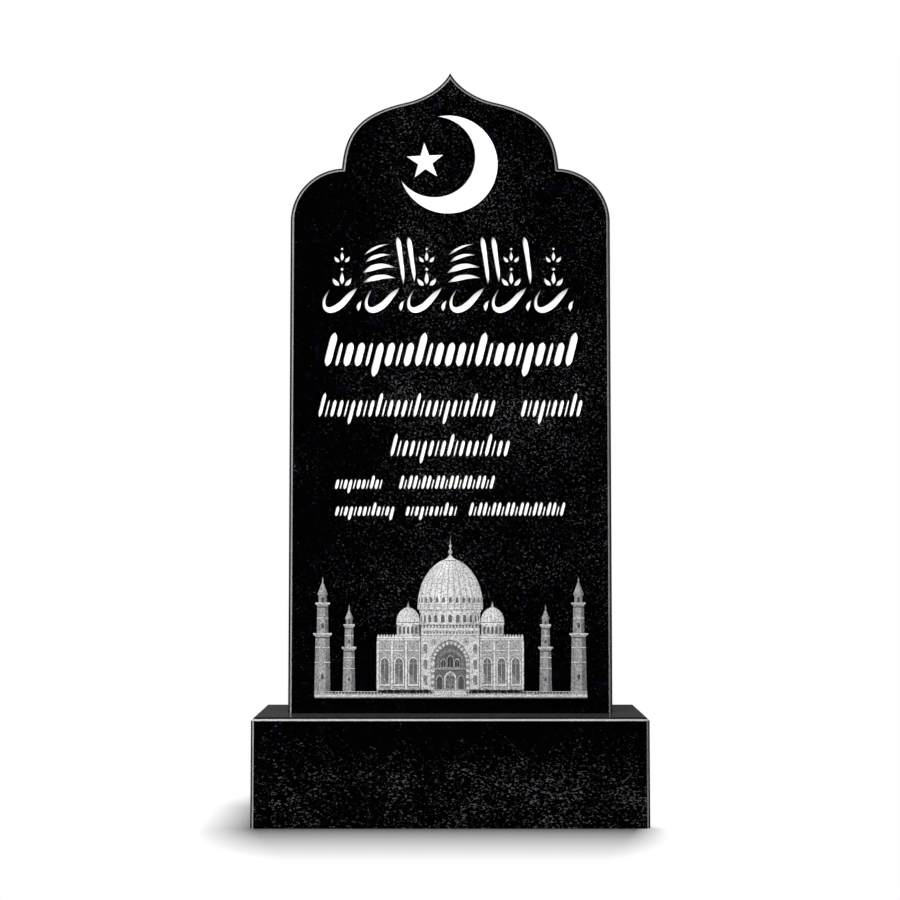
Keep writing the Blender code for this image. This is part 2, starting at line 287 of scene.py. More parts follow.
def add_mix(nodes, links, factor, a, b, blend="MIX"):
    """Colour a blended into colour b by the factor."""
    node = nodes.new("ShaderNodeMix")
    node.data_type = "RGBA"
    node.blend_type = blend
    for value, socket in zip((factor, a, b), (node.inputs[0], node.inputs[6], node.inputs[7])):
        plug(links, value, socket)
    return node.outputs[2]


def object_place(nodes):
    return nodes.new("ShaderNodeTexCoord").outputs["Object"]


def add_split(nodes, links, vector):
    """The X, Y and Z outputs of a vector."""
    node = nodes.new("ShaderNodeSeparateXYZ")
    links.new(vector, node.inputs[0])
    return node.outputs


def add_upward(nodes, links):
    """How far a face looks up: 1 where it is level, 0 where it is upright."""
    return add_split(nodes, links, nodes.new("ShaderNodeNewGeometry").outputs["Normal"])["Z"]


def add_noise(nodes, links, place, **values):
    node = add_node(nodes, "ShaderNodeTexNoise", **values)
    links.new(place, node.inputs["Vector"])
    return node.outputs["Fac"]


def add_bump(nodes, links, height, surface, **values):
    """Gives the surface a fine relief of this height."""
    node = add_node(nodes, "ShaderNodeBump", **values)
    links.new(height, node.inputs["Height"])
    links.new(node.outputs[0], surface.inputs["Normal"])


# Noise of the finishes; a scale counts waves in a metre
CRYSTALS = {"Detail": 1.5, "Roughness": 0.6}
CLOUDS = {"Scale": 9.0, "Detail": 4.0, "Roughness": 0.6}
TINTS = {"Scale": 120.0, "Detail": 1.0}
BLOTCHES = {"Scale": 70.0, "Detail": 3.0}
DUST_STREAKS = {"Scale": 55.0, "Detail": 4.0}
PAINT_FLOW = {"Scale": 260.0, "Detail": 3.0}
NEEDLE_DOTS = {"Scale": 430.0, "Detail": 2.0, "Roughness": 0.75}
NEEDLE_CLOUDS = {"Scale": 45.0, "Detail": 3.0}
# Nearly all of a noise lies between these two values
NOISE_SPAN = (0.3, 0.7)

# Grain of each finish: crystal size, length and swirl, the noise level above which a crystal shows, how much
# that level rises where the block is nearly bare, and from where to where, along and up, the grain sets in
STELE_GRAIN = {
    "Grain size": 0.0023, "Length": 1.1, "Swirl": 0.0, "Threshold": 0.605, "Rise": 0.10,
    "Bare side": -0.20, "Full side": -0.07, "Bare height": 0.20, "Full height": 0.38,
}
BASE_GRAIN = {
    "Grain size": 0.0023, "Length": 1.7, "Swirl": 0.5, "Threshold": 0.59, "Rise": 0.10,
    "Bare side": -0.9, "Full side": -0.8, "Bare height": 0.145, "Full height": 0.08,
}
FINE_GRAIN = {
    "Grain size": 0.0020, "Length": 1.0, "Swirl": 0.2, "Threshold": 0.45, "Rise": 0.0,
    "Bare side": -0.9, "Full side": -0.8, "Bare height": -0.9, "Full height": -0.8,
}
# How far the clouds shift the level above which a crystal shows
CLOUD_SHIFT = 0.07
# A crystal's dim rim and its bright core: how far above the level each is full, and how bright the rim is
RIM_RISE = 0.04
RIM_SHINE = 0.08
CORE_RISE = 0.16
CORE_FALL = 1.6
# Larger flakes that glint: cells in a metre, how low a cell may draw, its brightest, and its soft edge
FLAKE_SCALE = 110.0
FLAKE_DRAW = 0.35
FLAKE_SHINE = 0.8
FLAKE_EDGE = (0.12, 0.05)
# Noise values between which a crystal turns warm, and the ground bluish
WARM_SPAN = (0.47, 0.56)
BLOTCH_SPAN = (0.58, 0.68)

# Dust streaks plus a painted sheen where polished stone looks up: the upward turn they start at, the streaks'
# length, how uneven
DUST_AND_SHEEN_TURN = 0.80
DUST_STRETCH = (0.25, 1, 1)
DUST_UNEVEN = (0.65, 1.3)
# How much duller a crystal is than the polished ground
CRYSTAL_DULL = 0.08
# Palest and darkest honed stone, as shares of its colour
HONED_PALE = 1.3
HONED_DARK = 0.85
# Thinnest paint, as a share of its full tone
PAINT_THIN = 0.93
# Needle dots: the noise that they are cut from and how bright they get, and the same of their clouds
DOT_RANGE = (0.34, 0.60, 0.30, 1.1)
DOT_CLOUD_RANGE = (0.35, 0.62, 0.86, 1.0)


def grain_group():
    """Crystals of black granite: how bright each shows, which are warm, and where the ground is bluish."""
    name = "Granite grain"
    if name in bpy.data.node_groups:
        return bpy.data.node_groups[name]
    tree = bpy.data.node_groups.new(name, "ShaderNodeTree")
    for label in STELE_GRAIN:
        tree.interface.new_socket(label, in_out="INPUT", socket_type="NodeSocketFloat")
    for label in ("Grain", "Warmth", "Blotch"):
        tree.interface.new_socket(label, in_out="OUTPUT", socket_type="NodeSocketFloat")
    nodes, links = tree.nodes, tree.links
    given = nodes.new("NodeGroupInput").outputs
    put_out = nodes.new("NodeGroupOutput").inputs
    place = object_place(nodes)

    squeeze = nodes.new("ShaderNodeCombineXYZ")
    links.new(add_math(nodes, links, "DIVIDE", 1.0, given["Length"]), squeeze.inputs["X"])
    squeeze.inputs["Y"].default_value = squeeze.inputs["Z"].default_value = 1.0
    crystals = add_node(nodes, "ShaderNodeTexNoise", **CRYSTALS)
    links.new(add_product(nodes, links, place, squeeze.outputs[0]), crystals.inputs["Vector"])
    links.new(add_math(nodes, links, "DIVIDE", 1.0, given["Grain size"]), crystals.inputs["Scale"])
    links.new(given["Swirl"], crystals.inputs["Distortion"])

    clouds = add_noise(nodes, links, place, **CLOUDS)
    spot = add_split(nodes, links, place)
    full = add_math(nodes, links, "MINIMUM",
                    add_range(nodes, links, spot["X"], given["Bare side"], given["Full side"]),
                    add_range(nodes, links, spot["Z"], given["Bare height"], given["Full height"]))
    bare = add_math(nodes, links, "SUBTRACT", 1.0, full)
    raised = add_math(nodes, links, "MULTIPLY_ADD", bare, given["Rise"], given["Threshold"])
    level = add_math(nodes, links, "ADD", raised,
                     add_range(nodes, links, clouds, *NOISE_SPAN, CLOUD_SHIFT, -CLOUD_SHIFT))
    above = add_math(nodes, links, "SUBTRACT", crystals.outputs["Fac"], level)
    rim = add_range(nodes, links, above, 0.0, RIM_RISE, 0.0, RIM_SHINE)
    core = add_math(nodes, links, "POWER", add_range(nodes, links, above, 0.0, CORE_RISE), CORE_FALL)

    flakes = add_node(nodes, "ShaderNodeTexVoronoi", Scale=FLAKE_SCALE)
    links.new(place, flakes.inputs["Vector"])
    drawn = add_split(nodes, links, flakes.outputs["Color"])["X"]
    bright = add_math(nodes, links, "MULTIPLY",
                      add_range(nodes, links, drawn, FLAKE_DRAW, 1.0, 0.0, FLAKE_SHINE),
                      add_range(nodes, links, flakes.outputs["Distance"], *FLAKE_EDGE))
    sparkle = add_math(nodes, links, "MULTIPLY", bright, full)
    shown = add_math(nodes, links, "MAXIMUM", add_math(nodes, links, "ADD", rim, core, clamp=True), sparkle)
    links.new(shown, put_out["Grain"])

    tones_and_shades = add_noise(nodes, links, place, **TINTS)
    links.new(add_range(nodes, links, tones_and_shades, *WARM_SPAN), put_out["Warmth"])
    blotches = add_noise(nodes, links, place, **BLOTCHES)
    links.new(add_range(nodes, links, blotches, *BLOTCH_SPAN), put_out["Blotch"])
    return tree


def add_grain(nodes, grain_values):
    """The grain's outputs, for a stone with these values."""
    node = nodes.new("ShaderNodeGroup")
    node.node_tree = grain_group()
    for label, value in grain_values.items():
        node.inputs[label].default_value = value
    return node.outputs


def granite_colour(nodes, links, finish, grain):
    crystal = add_mix(nodes, links, grain["Warmth"], finish.cold_grain, finish.warm_grain)
    ground = add_mix(nodes, links, grain["Blotch"], finish.granite, finish.blotch)
    return add_mix(nodes, links, grain["Grain"], ground, crystal)


def polished_granite(name, finish, grain_values):
    """Black stone with a mirror polish, and streaks of fine dust with a painted sheen where it looks up."""
    made, nodes, links, surface = new_material(name)
    grain = add_grain(nodes, grain_values)
    dust_and_sheen_mask = add_range(nodes, links, add_upward(nodes, links), DUST_AND_SHEEN_TURN, 1.0)
    along = add_product(nodes, links, object_place(nodes), DUST_STRETCH)
    streaks = add_noise(nodes, links, along, **DUST_STREAKS)
    uneven = add_math(nodes, links, "MULTIPLY", dust_and_sheen_mask,
                      add_range(nodes, links, streaks, *NOISE_SPAN, *DUST_UNEVEN))
    # Painted sheen: faces that look up are made paler, together with the dust streaks
    dust_and_sheen = add_mix(nodes, links, uneven, (0.0, 0.0, 0.0), finish.film)
    stone = granite_colour(nodes, links, finish, grain)
    links.new(add_mix(nodes, links, 1.0, stone, dust_and_sheen, "ADD"), surface.inputs["Base Color"])
    rough = add_math(nodes, links, "MULTIPLY_ADD", grain["Grain"], CRYSTAL_DULL, finish.gloss)
    links.new(rough, surface.inputs["Roughness"])
    surface.inputs["Specular IOR Level"].default_value = 0.3
    return made


def honed_granite_and_highlight(name, finish, shine):
    """The grey, unpolished stone of a chamfer, with fine pits; its grey line also stands in as a painted
    highlight, and is made paler where it faces up.
    """
    made, nodes, links, surface = new_material(name)
    grain = add_grain(nodes, FINE_GRAIN)
    pale = tuple(c * HONED_PALE for c in finish.honed)
    dark = tuple(c * HONED_DARK for c in finish.honed)
    # Painted highlight: the chamfer is made paler the more it faces up, by the shine given
    paler = add_range(nodes, links, add_upward(nodes, links), 0.0, 1.0, 1.0, 1.0 + shine)
    stone = add_mix(nodes, links, grain["Grain"], dark, pale)
    links.new(add_product(nodes, links, stone, paler), surface.inputs["Base Color"])
    surface.inputs["Roughness"].default_value = 0.5
    surface.inputs["Specular IOR Level"].default_value = 0.3
    add_bump(nodes, links, grain["Grain"], surface, Strength=0.15, Distance=0.2 * MM)
    return made


def carving_paint(name, finish):
    """White enamel in the carving, with painted shade towards the points of the band's strokes."""
    made, nodes, links, surface = new_material(name)
    shade = add_node(nodes, "ShaderNodeAttribute", attribute_name="tint")
    flow = add_noise(nodes, links, object_place(nodes), **PAINT_FLOW)
    uneven = add_range(nodes, links, flow, *NOISE_SPAN, PAINT_THIN, 1.0)
    worn = add_mix(nodes, links, 1.0, uneven, finish.paint, "MULTIPLY")
    shaded = add_mix(nodes, links, 1.0, shade.outputs["Color"], worn, "MULTIPLY")
    links.new(shaded, surface.inputs["Base Color"])
    surface.inputs["Roughness"].default_value = 0.38
    add_bump(nodes, links, flow, surface, Strength=0.2, Distance=0.3 * MM)
    return made


def etched_stone(name, finish):
    """Stone stippled with a needle: the denser the dots, the paler the tone that a face carries."""
    made, nodes, links, surface = new_material(name)
    ground = granite_colour(nodes, links, finish, add_grain(nodes, STELE_GRAIN))
    tone = add_node(nodes, "ShaderNodeAttribute", attribute_name="tint")
    place = object_place(nodes)
    dots = add_noise(nodes, links, place, **NEEDLE_DOTS)
    clouds = add_noise(nodes, links, place, **NEEDLE_CLOUDS)
    stipple = add_math(nodes, links, "MULTIPLY", add_range(nodes, links, dots, *DOT_RANGE),
                       add_range(nodes, links, clouds, *DOT_CLOUD_RANGE))
    lit = add_mix(nodes, links, 1.0, tone.outputs["Color"], finish.etched, "MULTIPLY")
    dotted = add_mix(nodes, links, 1.0, lit, stipple, "MULTIPLY")
    links.new(add_mix(nodes, links, 1.0, dotted, ground, "ADD"), surface.inputs["Base Color"])
    surface.inputs["Roughness"].default_value = 0.55
    surface.inputs["Specular IOR Level"].default_value = 0.2
    return made


# Outlines on the slab's face are lists of (x, z) in millimetres, z up from the slab's foot.
# How many steps their curves are divided into
OGEE_STEPS = 44
SHOULDER_STEPS = 36
CRESCENT_STEPS = 72
ROW_STEPS = 4
BAND_STEPS = 6
# Two points closer than this are one point of the outline
SAME_POINT = 0.1
# How far a star's waists and points lie further in on the carving's floor, in widths of its slope
STAR_WAIST_INSET = 0.8
STAR_POINT_INSET = 2.6
# A stroke's least half width, its floor's as a share, and how much of its length darkens with painted shade
# at each end
FINEST_HALF_WIDTH = 0.3
NARROWEST_FLOOR = 0.35
FADING_SHARE = 0.3


def arc(centre, radius, start, end, steps):
    cx, cz = centre
    angles = [start + (end - start) * k / steps for k in range(steps + 1)]
    return [(cx + radius * math.cos(a), cz + radius * math.sin(a)) for a in angles]


def slab_size():
    """Width, thickness and height of the slab and its lowest corner, in metres."""
    low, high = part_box("stele")
    return high.x - low.x, high.y - low.y, high.z - low.z, low


def right_outline(shape):
    """Right half of the slab's outline, from the apex to the foot."""
    width, _, height, _ = slab_size()
    half = width / MM / 2
    height /= MM
    turn_out, turn_drop = (v / MM for v in shape.ogee_turn)
    reach_in, reach_out = (v / MM for v in shape.ogee_reach)
    notch_x, notch_z = shape.crown_half_width / MM, height - shape.crown_height / MM
    radius = shape.shoulder_radius / MM
    apex = Vector((0, height))
    turn = Vector((turn_out, height - turn_drop))
    notch = Vector((notch_x, notch_z))
    slope = Vector((math.cos(shape.ogee_slope), -math.sin(shape.ogee_slope)))
    from_apex = apex + Vector((shape.apex_handle[0], -shape.apex_handle[1])) / MM
    to_notch = notch + Vector((-shape.notch_handle[0], shape.notch_handle[1])) / MM
    hollow = interpolate_bezier(apex, from_apex, turn - reach_in * slope, turn, OGEE_STEPS + 1)
    rounded = interpolate_bezier(turn, turn + reach_out * slope, to_notch, notch, OGEE_STEPS + 1)
    crown = [(p.x, p.y) for p in hollow + rounded[1:]]
    centre_x = half - radius
    start = math.acos(max(0.0, min(1.0, (notch_x - centre_x) / radius)))
    side = arc((centre_x, notch_z - radius * math.sin(start)), radius, start, 0.0, SHOULDER_STEPS)
    side = side[1:] if abs(side[0][0] - notch_x) < SAME_POINT else side
    return crown + side + [(half, 0.0)]


def inset_right(outline, width):
    """The same points moved in square to the outline, mitred at the notch and where both halves meet."""
    moved = []
    last = len(outline) - 1
    for k, point in enumerate(outline):
        here = Vector(point)
        before = here - Vector(outline[k - 1]) if k else Vector(outline[1]) - here
        after = Vector(outline[k + 1]) - here if k < last else before
        inward = [Vector((d.y, -d.x)).normalized() for d in (before, after)]
        mitre = (inward[0] + inward[1]).normalized()
        moved.append(here + mitre * width / mitre.dot(inward[0]))
    crossing = next(k for k in range(last) if moved[k].x <= 0 < moved[k + 1].x)
    middle_line = Vector((0, 0)), Vector((0, outline[0][1] + 1))
    tip = intersect_line_line_2d(moved[crossing], moved[crossing + 1], *middle_line)
    return [(0.0, tip.y)] * (crossing + 1) + [(p.x, p.y) for p in moved[crossing + 1:]]


def mirrored(half):
    """A whole outline from its right half."""
    return half + [(-x, z) for x, z in reversed(half[1:])]


def crescent(shape, height, inset):
    """The crescent's outline, narrowed by the inset."""
    cx, cz = shape.crescent_x / MM, height - shape.crescent_drop / MM
    outer_radius = shape.crescent_radius / MM - inset
    inner_radius = shape.hollow_radius / MM + inset
    shift_x, shift_z = (v / MM for v in shape.hollow_shift)
    gap = math.hypot(shift_x, shift_z)
    towards = math.atan2(shift_z, shift_x)
    along = (outer_radius**2 - inner_radius**2 + gap**2) / (2 * gap)
    outer_half = math.acos(along / outer_radius)
    inner_half = math.acos((along - gap) / inner_radius)
    outer = arc((cx, cz), outer_radius, towards + outer_half, towards + math.tau - outer_half, CRESCENT_STEPS)
    hollow = (cx + shift_x, cz + shift_z)
    inner = arc(hollow, inner_radius, towards - inner_half, towards - math.tau + inner_half, CRESCENT_STEPS)
    return outer + inner[1:-1]


def star(shape, height, inset):
    """The five-pointed star beside it, narrowed by the inset."""
    cx = (shape.crescent_x + shape.star_shift[0]) / MM
    cz = height + (shape.star_shift[1] - shape.crescent_drop) / MM
    points = []
    for k in range(10):
        angle = math.pi / 2 + shape.star_lean + k * math.pi / 5
        radius = shape.star_radius / MM * (shape.star_waist if k % 2 else 1.0)
        radius -= inset * (STAR_WAIST_INSET if k % 2 else STAR_POINT_INSET)
        points.append((cx + radius * math.cos(angle), cz + radius * math.sin(angle)))
    return points


def smooth_through(stations, steps):
    """A smooth curve through the stations, with this many steps from each to the next."""
    last = len(stations) - 1
    made = []
    for k in range(last):
        a, b = stations[max(k - 1, 0)], stations[k]
        c, d = stations[k + 1], stations[min(k + 2, last)]
        for t in (s / steps for s in range(steps)):
            made.append([
                q + 0.5 * ((r - p) * t + (2 * p - 5 * q + 4 * r - w) * t**2 + (3 * q - p - 3 * r + w) * t**3)
                for p, q, r, w in zip(a, b, c, d)
            ])
    made.append(list(stations[last]))
    return made


def brush(points, slope):
    """Outline of a stroke along (x, z, half width) points, narrowed by the slope of its walls."""
    left, right = [], []
    last = len(points) - 1
    for k, (x, z, half) in enumerate(points):
        before, after = points[max(k - 1, 0)], points[min(k + 1, last)]
        dx, dz = after[0] - before[0], after[1] - before[1]
        if slope:
            half = max(half - slope, NARROWEST_FLOOR * half)
        share = half / math.hypot(dx, dz)
        left.append((x - dz * share, z + dx * share))
        if 0 < k < last:
            right.append((x + dz * share, z - dx * share))
    return left + right[::-1]


class Stroke:
    """A carved stroke: its stations in millimetres, and the painted shade of its paint at the ends."""

    def __init__(self, stations, steps, end_shade=1.0):
        self.points = [[x, z, max(half, FINEST_HALF_WIDTH)] for x, z, half in smooth_through(stations, steps)]
        self.points[0][2] = self.points[-1][2] = 0.0
        self.end_shade = end_shade

    def moved(self, x, z):
        for point in self.points:
            point[0] += x
            point[1] += z
        return self

    def outline(self, slope):
        return brush(self.points, slope)

    def tones_and_shades(self):
        """Painted shade of each outline point."""
        last = len(self.points) - 1
        along = [min(1.0, min(k, last - k) / (FADING_SHARE * last)) for k in range(last + 1)]
        shades = [self.end_shade + (1 - self.end_shade) * a for a in along]
        return shades + shades[-2:0:-1]


# Rows of leaning strokes. Each mark: its foot and its top as shares of a short stroke's height, its
# share of the row's half width, and its share of the row's spacing.
MARKS = {
    "tall": (0.0, 1.42, 1.0, 1.0),
    "short": (0.0, 1.0, 1.0, 1.0),
    "dropped": (-0.44, 1.0, 1.0, 1.0),
    "narrow": (0.0, 1.0, 0.45, 0.72),
}
RHYTHMS = {
    "long": ("tall", "narrow", "short", "short", "narrow", "dropped", "short", "narrow", "short", "tall",
             "narrow", "short", "short", "short", "narrow"),
    "even": ("short", "narrow", "short", "dropped", "narrow", "short", "short", "narrow", "tall"),
    "high": ("tall", "narrow", "tall"),
}
# Each row: baseline drop, height of a short stroke, half width of a stroke, spacing of strokes,
# then (left, right, rhythm) of each group, all in millimetres.
INSCRIPTION = (
    (463.9, 37.0, 5.2, 17.0, ((-201, 200, "long"),)),
    (543.0, 26.4, 2.6, 10.5, ((-209, 74, "long"), (106, 209, "even"))),
    (604.5, 25.0, 2.6, 10.5, ((-97, 96, "long"),)),
    (655.1, 15.0, 2.2, 7.5, ((-181, -103, "even"), (-82, 70, "high"))),
    (696.8, 15.0, 2.2, 7.5, ((-181, -84, "even"), (-72, 13, "even"), (26, 179, "high"))),
)
ROW_LEAN = math.tan(math.radians(14))
# How a row's stroke and a leaf swell: share of the length, share of the half width
STROKE_SWELL = ((0, 0), (0.14, 0.92), (0.5, 1), (0.86, 0.92), (1, 0))
LEAF_SWELL = ((0, 0), (0.3, 1), (0.65, 0.8), (1, 0))

# Band under the emblem: bowls at an even pitch, some with tall blades beside them, in millimetres
BAND_DROP = 380
BAND_LEFT = -187
BAND_PITCH = 66
# Tone of the painted shade at the points of the band's strokes
BAND_END_SHADE = 0.42
# Stations of a bowl from its tip to its curl: along, up, half width
BOWL = ((42, 39, 0), (31, 28, 3.8), (15, 11, 5.0), (0, 4, 4.4), (-9, 9, 2.6), (-9, 22, 1.7), (-1, 37, 0))
# Blades beside each bowl, and where they stand
BLADES = (0, 2, 0, 2, 1, 0)
BLADE_LEFT = 42
BLADE_FOOT = 44
BLADE_RISE = 3
BLADE_TOP = 119
BLADE_SPACING = 17
# Leaves of a feather, and the one under each bowl's tip: along, up, length, angle in degrees, half width, bow
FEATHER = (
    (-15, 47, 52, 8, 3.8, 0.10),
    (-16, 62, 52, 10, 4.2, 0.12),
    (-12, 79, 42, 16, 2.6, 0.10),
    (-14, 90, 44, 24, 1.7, 0.08),
)
TIP_LEAF = (44, 2, 18, 72, 2.6, 0.14)
# Palmettes over a bowl: along, up, length, half width of a leaf. Then how far from their common point the
# leaves start, their turn in degrees, the side leaves' length as a share, and the turn that would bow one
# by its own length
PALMETTES = ((18, 38, 20, 2.9), (18, 75, 15, 2.3))
PALMETTE_GAP = 6
PALMETTE_TURN = 42
SIDE_LEAF = 0.8
TURN_FOR_BOW = 500


def leaning_stroke(foot, top, half_width):
    """One stroke of a row, from its foot up to its top."""
    stations = []
    for t, share in STROKE_SWELL:
        z = foot + (top - foot) * t
        stations.append((ROW_LEAN * z, z, half_width * share))
    return Stroke(stations, ROW_STEPS)


def diamond(x, z, half_width):
    return Stroke([(x, z - half_width, 0), (x, z, half_width), (x, z + half_width, 0)], 1)


def group_marks(rhythm, slots):
    """The marks of one group, its rhythm over and over until the slots are filled, and their total."""
    marks = []
    filled = 0.0
    for name in itertools.cycle(RHYTHMS[rhythm]):
        if filled + MARKS[name][3] > slots:
            return marks, filled
        marks.append(MARKS[name])
        filled += MARKS[name][3]


def row_strokes(height):
    """Every stroke of the five rows."""
    strokes = []
    for drop, stroke_height, half_width, spacing, groups in INSCRIPTION:
        for left, right, rhythm in groups:
            width = right - left - ROW_LEAN * stroke_height
            marks, filled = group_marks(rhythm, width / spacing)
            x = left
            for foot, top, weight, share in marks:
                advance = share * width / filled
                stroke = leaning_stroke(foot * stroke_height, top * stroke_height, weight * half_width)
                strokes.append(stroke.moved(x + advance / 2, height - drop))
                x += advance
    return strokes


def pen(stations):
    """A stroke of the band, with painted shade at its ends."""
    return Stroke(stations, BAND_STEPS, BAND_END_SHADE)


def bowl(x):
    return pen([(x + along, up, half) for along, up, half in BOWL])


def blade(x, foot):
    return pen([(x - 4, BLADE_TOP, 0), (x - 2, BLADE_TOP - 9, 3.6), (x + 2, BLADE_TOP - 37, 3.1),
                (x + 5, foot + 14, 2.5), (x + 6, foot, 0)])


def leaf(x, z, length, angle, half_width, bow):
    """A leaf that rises from (x, z) at this angle in degrees, bowed to its left by this share."""
    across, up = math.cos(math.radians(angle)), math.sin(math.radians(angle))
    stations = []
    for t, share in LEAF_SWELL:
        along, aside = length * t, bow * length * math.sin(math.pi * t)
        place = (x + along * across - aside * up, z + along * up + aside * across)
        stations.append((*place, half_width * share))
    return pen(stations)


def feather(x):
    """Long leaves one above the other, between a bowl and the top of the band."""
    return [leaf(x + along, *sizes) for along, *sizes in FEATHER]


def palmette(x, z, length, half_width):
    """Three leaves that spread from one point, with a small diamond over them."""
    strokes = [diamond(x, z + length + 10, 0.9 * half_width)]
    for turn in (-PALMETTE_TURN, 0, PALMETTE_TURN):
        angle = math.radians(90 + turn)
        foot_x, foot_z = x + PALMETTE_GAP * math.cos(angle), z + PALMETTE_GAP * math.sin(angle)
        leaf_length = length * (SIDE_LEAF if turn else 1.0)
        strokes.append(leaf(foot_x, foot_z, leaf_length, 90 + turn, half_width, turn / TURN_FOR_BOW))
    return strokes


def band_strokes(height):
    """Every stroke of the band under the emblem."""
    strokes = []
    for k, blades in enumerate(BLADES):
        x = BAND_LEFT + k * BAND_PITCH
        strokes.append(bowl(x))
        strokes += [blade(x + BLADE_LEFT + BLADE_SPACING * n, BLADE_FOOT + BLADE_RISE * n)
                    for n in range(blades)]
        if blades > 1:
            strokes += feather(x)
        else:
            for along, *sizes in PALMETTES:
                strokes += palmette(x + along, *sizes)
        along, *sizes = TIP_LEAF
        strokes.append(leaf(x + along, *sizes))
    return [stroke.moved(0, height - BAND_DROP) for stroke in strokes]


def carvings(shape, height):
    """(rim, floor, painted shades) of everything that is cut into the face."""
    slope = shape.carve_slope / MM
    made = []
    for draw in (crescent, star):
        rim = draw(shape, height, 0.0)
        made.append((rim, draw(shape, height, slope), [1.0] * len(rim)))
    for stroke in band_strokes(height) + row_strokes(height):
        made.append((stroke.outline(0.0), stroke.outline(slope), stroke.tones_and_shades()))
    return made


# The etched picture, a domed hall between octagonal towers: layers of (tone, outline) from back to front, in
# millimetres. A tone is how pale the stone looks there, up to 1.
# A dome's side from its foot to its top: share of the half width, share of the rise
DOME_PROFILE = [(1.0, 0.0), (0.995, 0.12), (0.965, 0.28), (0.90, 0.45), (0.78, 0.62), (0.60, 0.78),
                (0.37, 0.91), (0.14, 0.975), (0.0, 1.0)]
DOME_STEPS = 3
# How far beyond the middle line an arch's sides are struck from, as a share of its half width
ARCH_CENTRE = 0.25
# Light comes a little from the left: where across a round form it is brightest, and how much the sides darken
LIT_ASIDE = 0.1
SIDE_SHADE = 0.34
SIDE_SHADE_BEND = 1.3
# A dome's rib: its tone as a share of the gore's, and its width as a share
RIB_TONE = 0.80
RIB_WIDTH = 0.22
# Balls on a finial: share of its height, radius in half widths of the spike
SPIKE_BALLS = ((0.2, 2.2), (0.5, 1.5))
# Shares of a tower's height at which its walks and eaves stand
LOWER_WALK = 0.52
UPPER_WALK = 0.79
EAVES = 0.875
# Stages of a tower: foot and top as shares of its height, half width at the foot and at the top as shares
TOWER_STAGES = (
    (0.0, LOWER_WALK, 1.0, 0.86),
    (LOWER_WALK, UPPER_WALK, 0.72, 0.66),
    (UPPER_WALK, EAVES, 0.52, 0.50),
)
# Its visible sides: from where to where across it, tone
TOWER_SIDES = ((-1.0, -0.42, 0.62), (-0.42, 0.42, 0.71), (0.42, 1.0, 0.50))
# Mouldings round it: share of its height, half width as a share
TOWER_RINGS = ((0.27, 0.94), (0.40, 0.90), (0.66, 0.70))
# The towers, back ones first: middle, half width at the foot, foot, top
TOWERS = ((-156, 9.6, 34, 162), (147, 9.6, 34, 162), (-197, 12.4, 31, 205), (198, 12.4, 31, 205))
# Levels, half widths and middles of the hall's parts
WALL_FOOT = 34
COURSE_FOOT = 38
COURSE_TOP = 38.4
COURSE_PITCH = 6.2
WING_INNER = 45
WING_OUTER = 113
WING_TOP = 118
WINDOW_MIDDLES = (57.0, 79.0, 101.0)
PILASTERS = (46.6, 68.0, 90.0, 111.6)
SMALL_DOME_MIDDLE = 65
FRONT_HALF = 45
DOOR_FOOT = 37.2
GATE_HALF = 24.4
GATE_SPRING = 78
GATE_APEX = 107.4
GATE_STEPS = 14
DRUM_HALF = 46
DRUM_SIDES = 12
# Level bands of the wing and the front: foot, tone, height
WING_LEDGES = (
    (34, 0.66, 3.2), (37.2, 0.98, 1.2), (95.6, 0.52, 0.8), (96.4, 0.97, 1.6),
    (111.8, 0.40, 1.0), (112.8, 0.98, 2.0), (114.8, 0.58, 0.8), (116.2, 0.98, 2.2),
)
FRONT_LEDGES = (
    (34, 0.66, 3.2), (120.2, 0.46, 0.8), (121.0, 0.99, 2.0), (126.8, 0.42, 0.9), (127.7, 0.99, 4.3),
)
# Ends of the terrace, and the steps to the gate: half width of the top one, its foot, rise and tread
TERRACE_LEFT = -209
TERRACE_RIGHT = 211
STEP_HALF = 22
STEP_TOP = 34.0
STEP_RISE = 1.9
STEP_TREAD = 2
# How far the whole picture stands below the heights that its parts are drawn at
PICTURE_DROP = 1.5


def box(x0, x1, z0, z1):
    return [(x0, z0), (x1, z0), (x1, z1), (x0, z1)]


def arch(cx, half, foot, spring, apex, steps=7):
    """A pointed arch with straight jambs."""
    radius = 1 + ARCH_CENTRE
    widest = math.acos(ARCH_CENTRE / radius)
    right = []
    for k in range(steps + 1):
        angle = widest * k / steps
        rise = math.sin(angle) / math.sin(widest) * (apex - spring)
        right.append((half * (radius * math.cos(angle) - ARCH_CENTRE), spring + rise))
    left = [(-x, z) for x, z in reversed(right[:-1])]
    return [(cx - half, foot), (cx + half, foot)] + [(cx + x, z) for x, z in right + left]


def disc(cx, cz, radius, steps=16):
    return arc((cx, cz), radius, 0, math.tau * (steps - 1) / steps, steps - 1)


def drawn(draw, *rows):
    """Layers of one kind of shape; each row is a tone, then what the shape takes."""
    return [(tone, draw(*sizes)) for tone, *sizes in rows]


def ledges(left, right, rows):
    """Level bands across a wall."""
    return [(tone, box(left, right, z, z + height)) for z, tone, height in rows]


def courses(left, right, tone, count):
    """Fine level joints between a wall's stones."""
    return [(tone, box(left, right, COURSE_FOOT + COURSE_PITCH * k, COURSE_TOP + COURSE_PITCH * k))
            for k in range(count)]


def gore(cx, half, foot, top, start, end):
    """The part of a dome between two upright ribs, given by their turn from the middle."""
    profile = [(p[0], p[1]) for p in smooth_through([(*p, 0) for p in DOME_PROFILE], DOME_STEPS)]
    rise = top - foot
    up = [(cx + half * share * math.sin(end), foot + rise * z) for share, z in profile]
    down = [(cx + half * share * math.sin(start), foot + rise * z) for share, z in reversed(profile[:-1])]
    return up + down


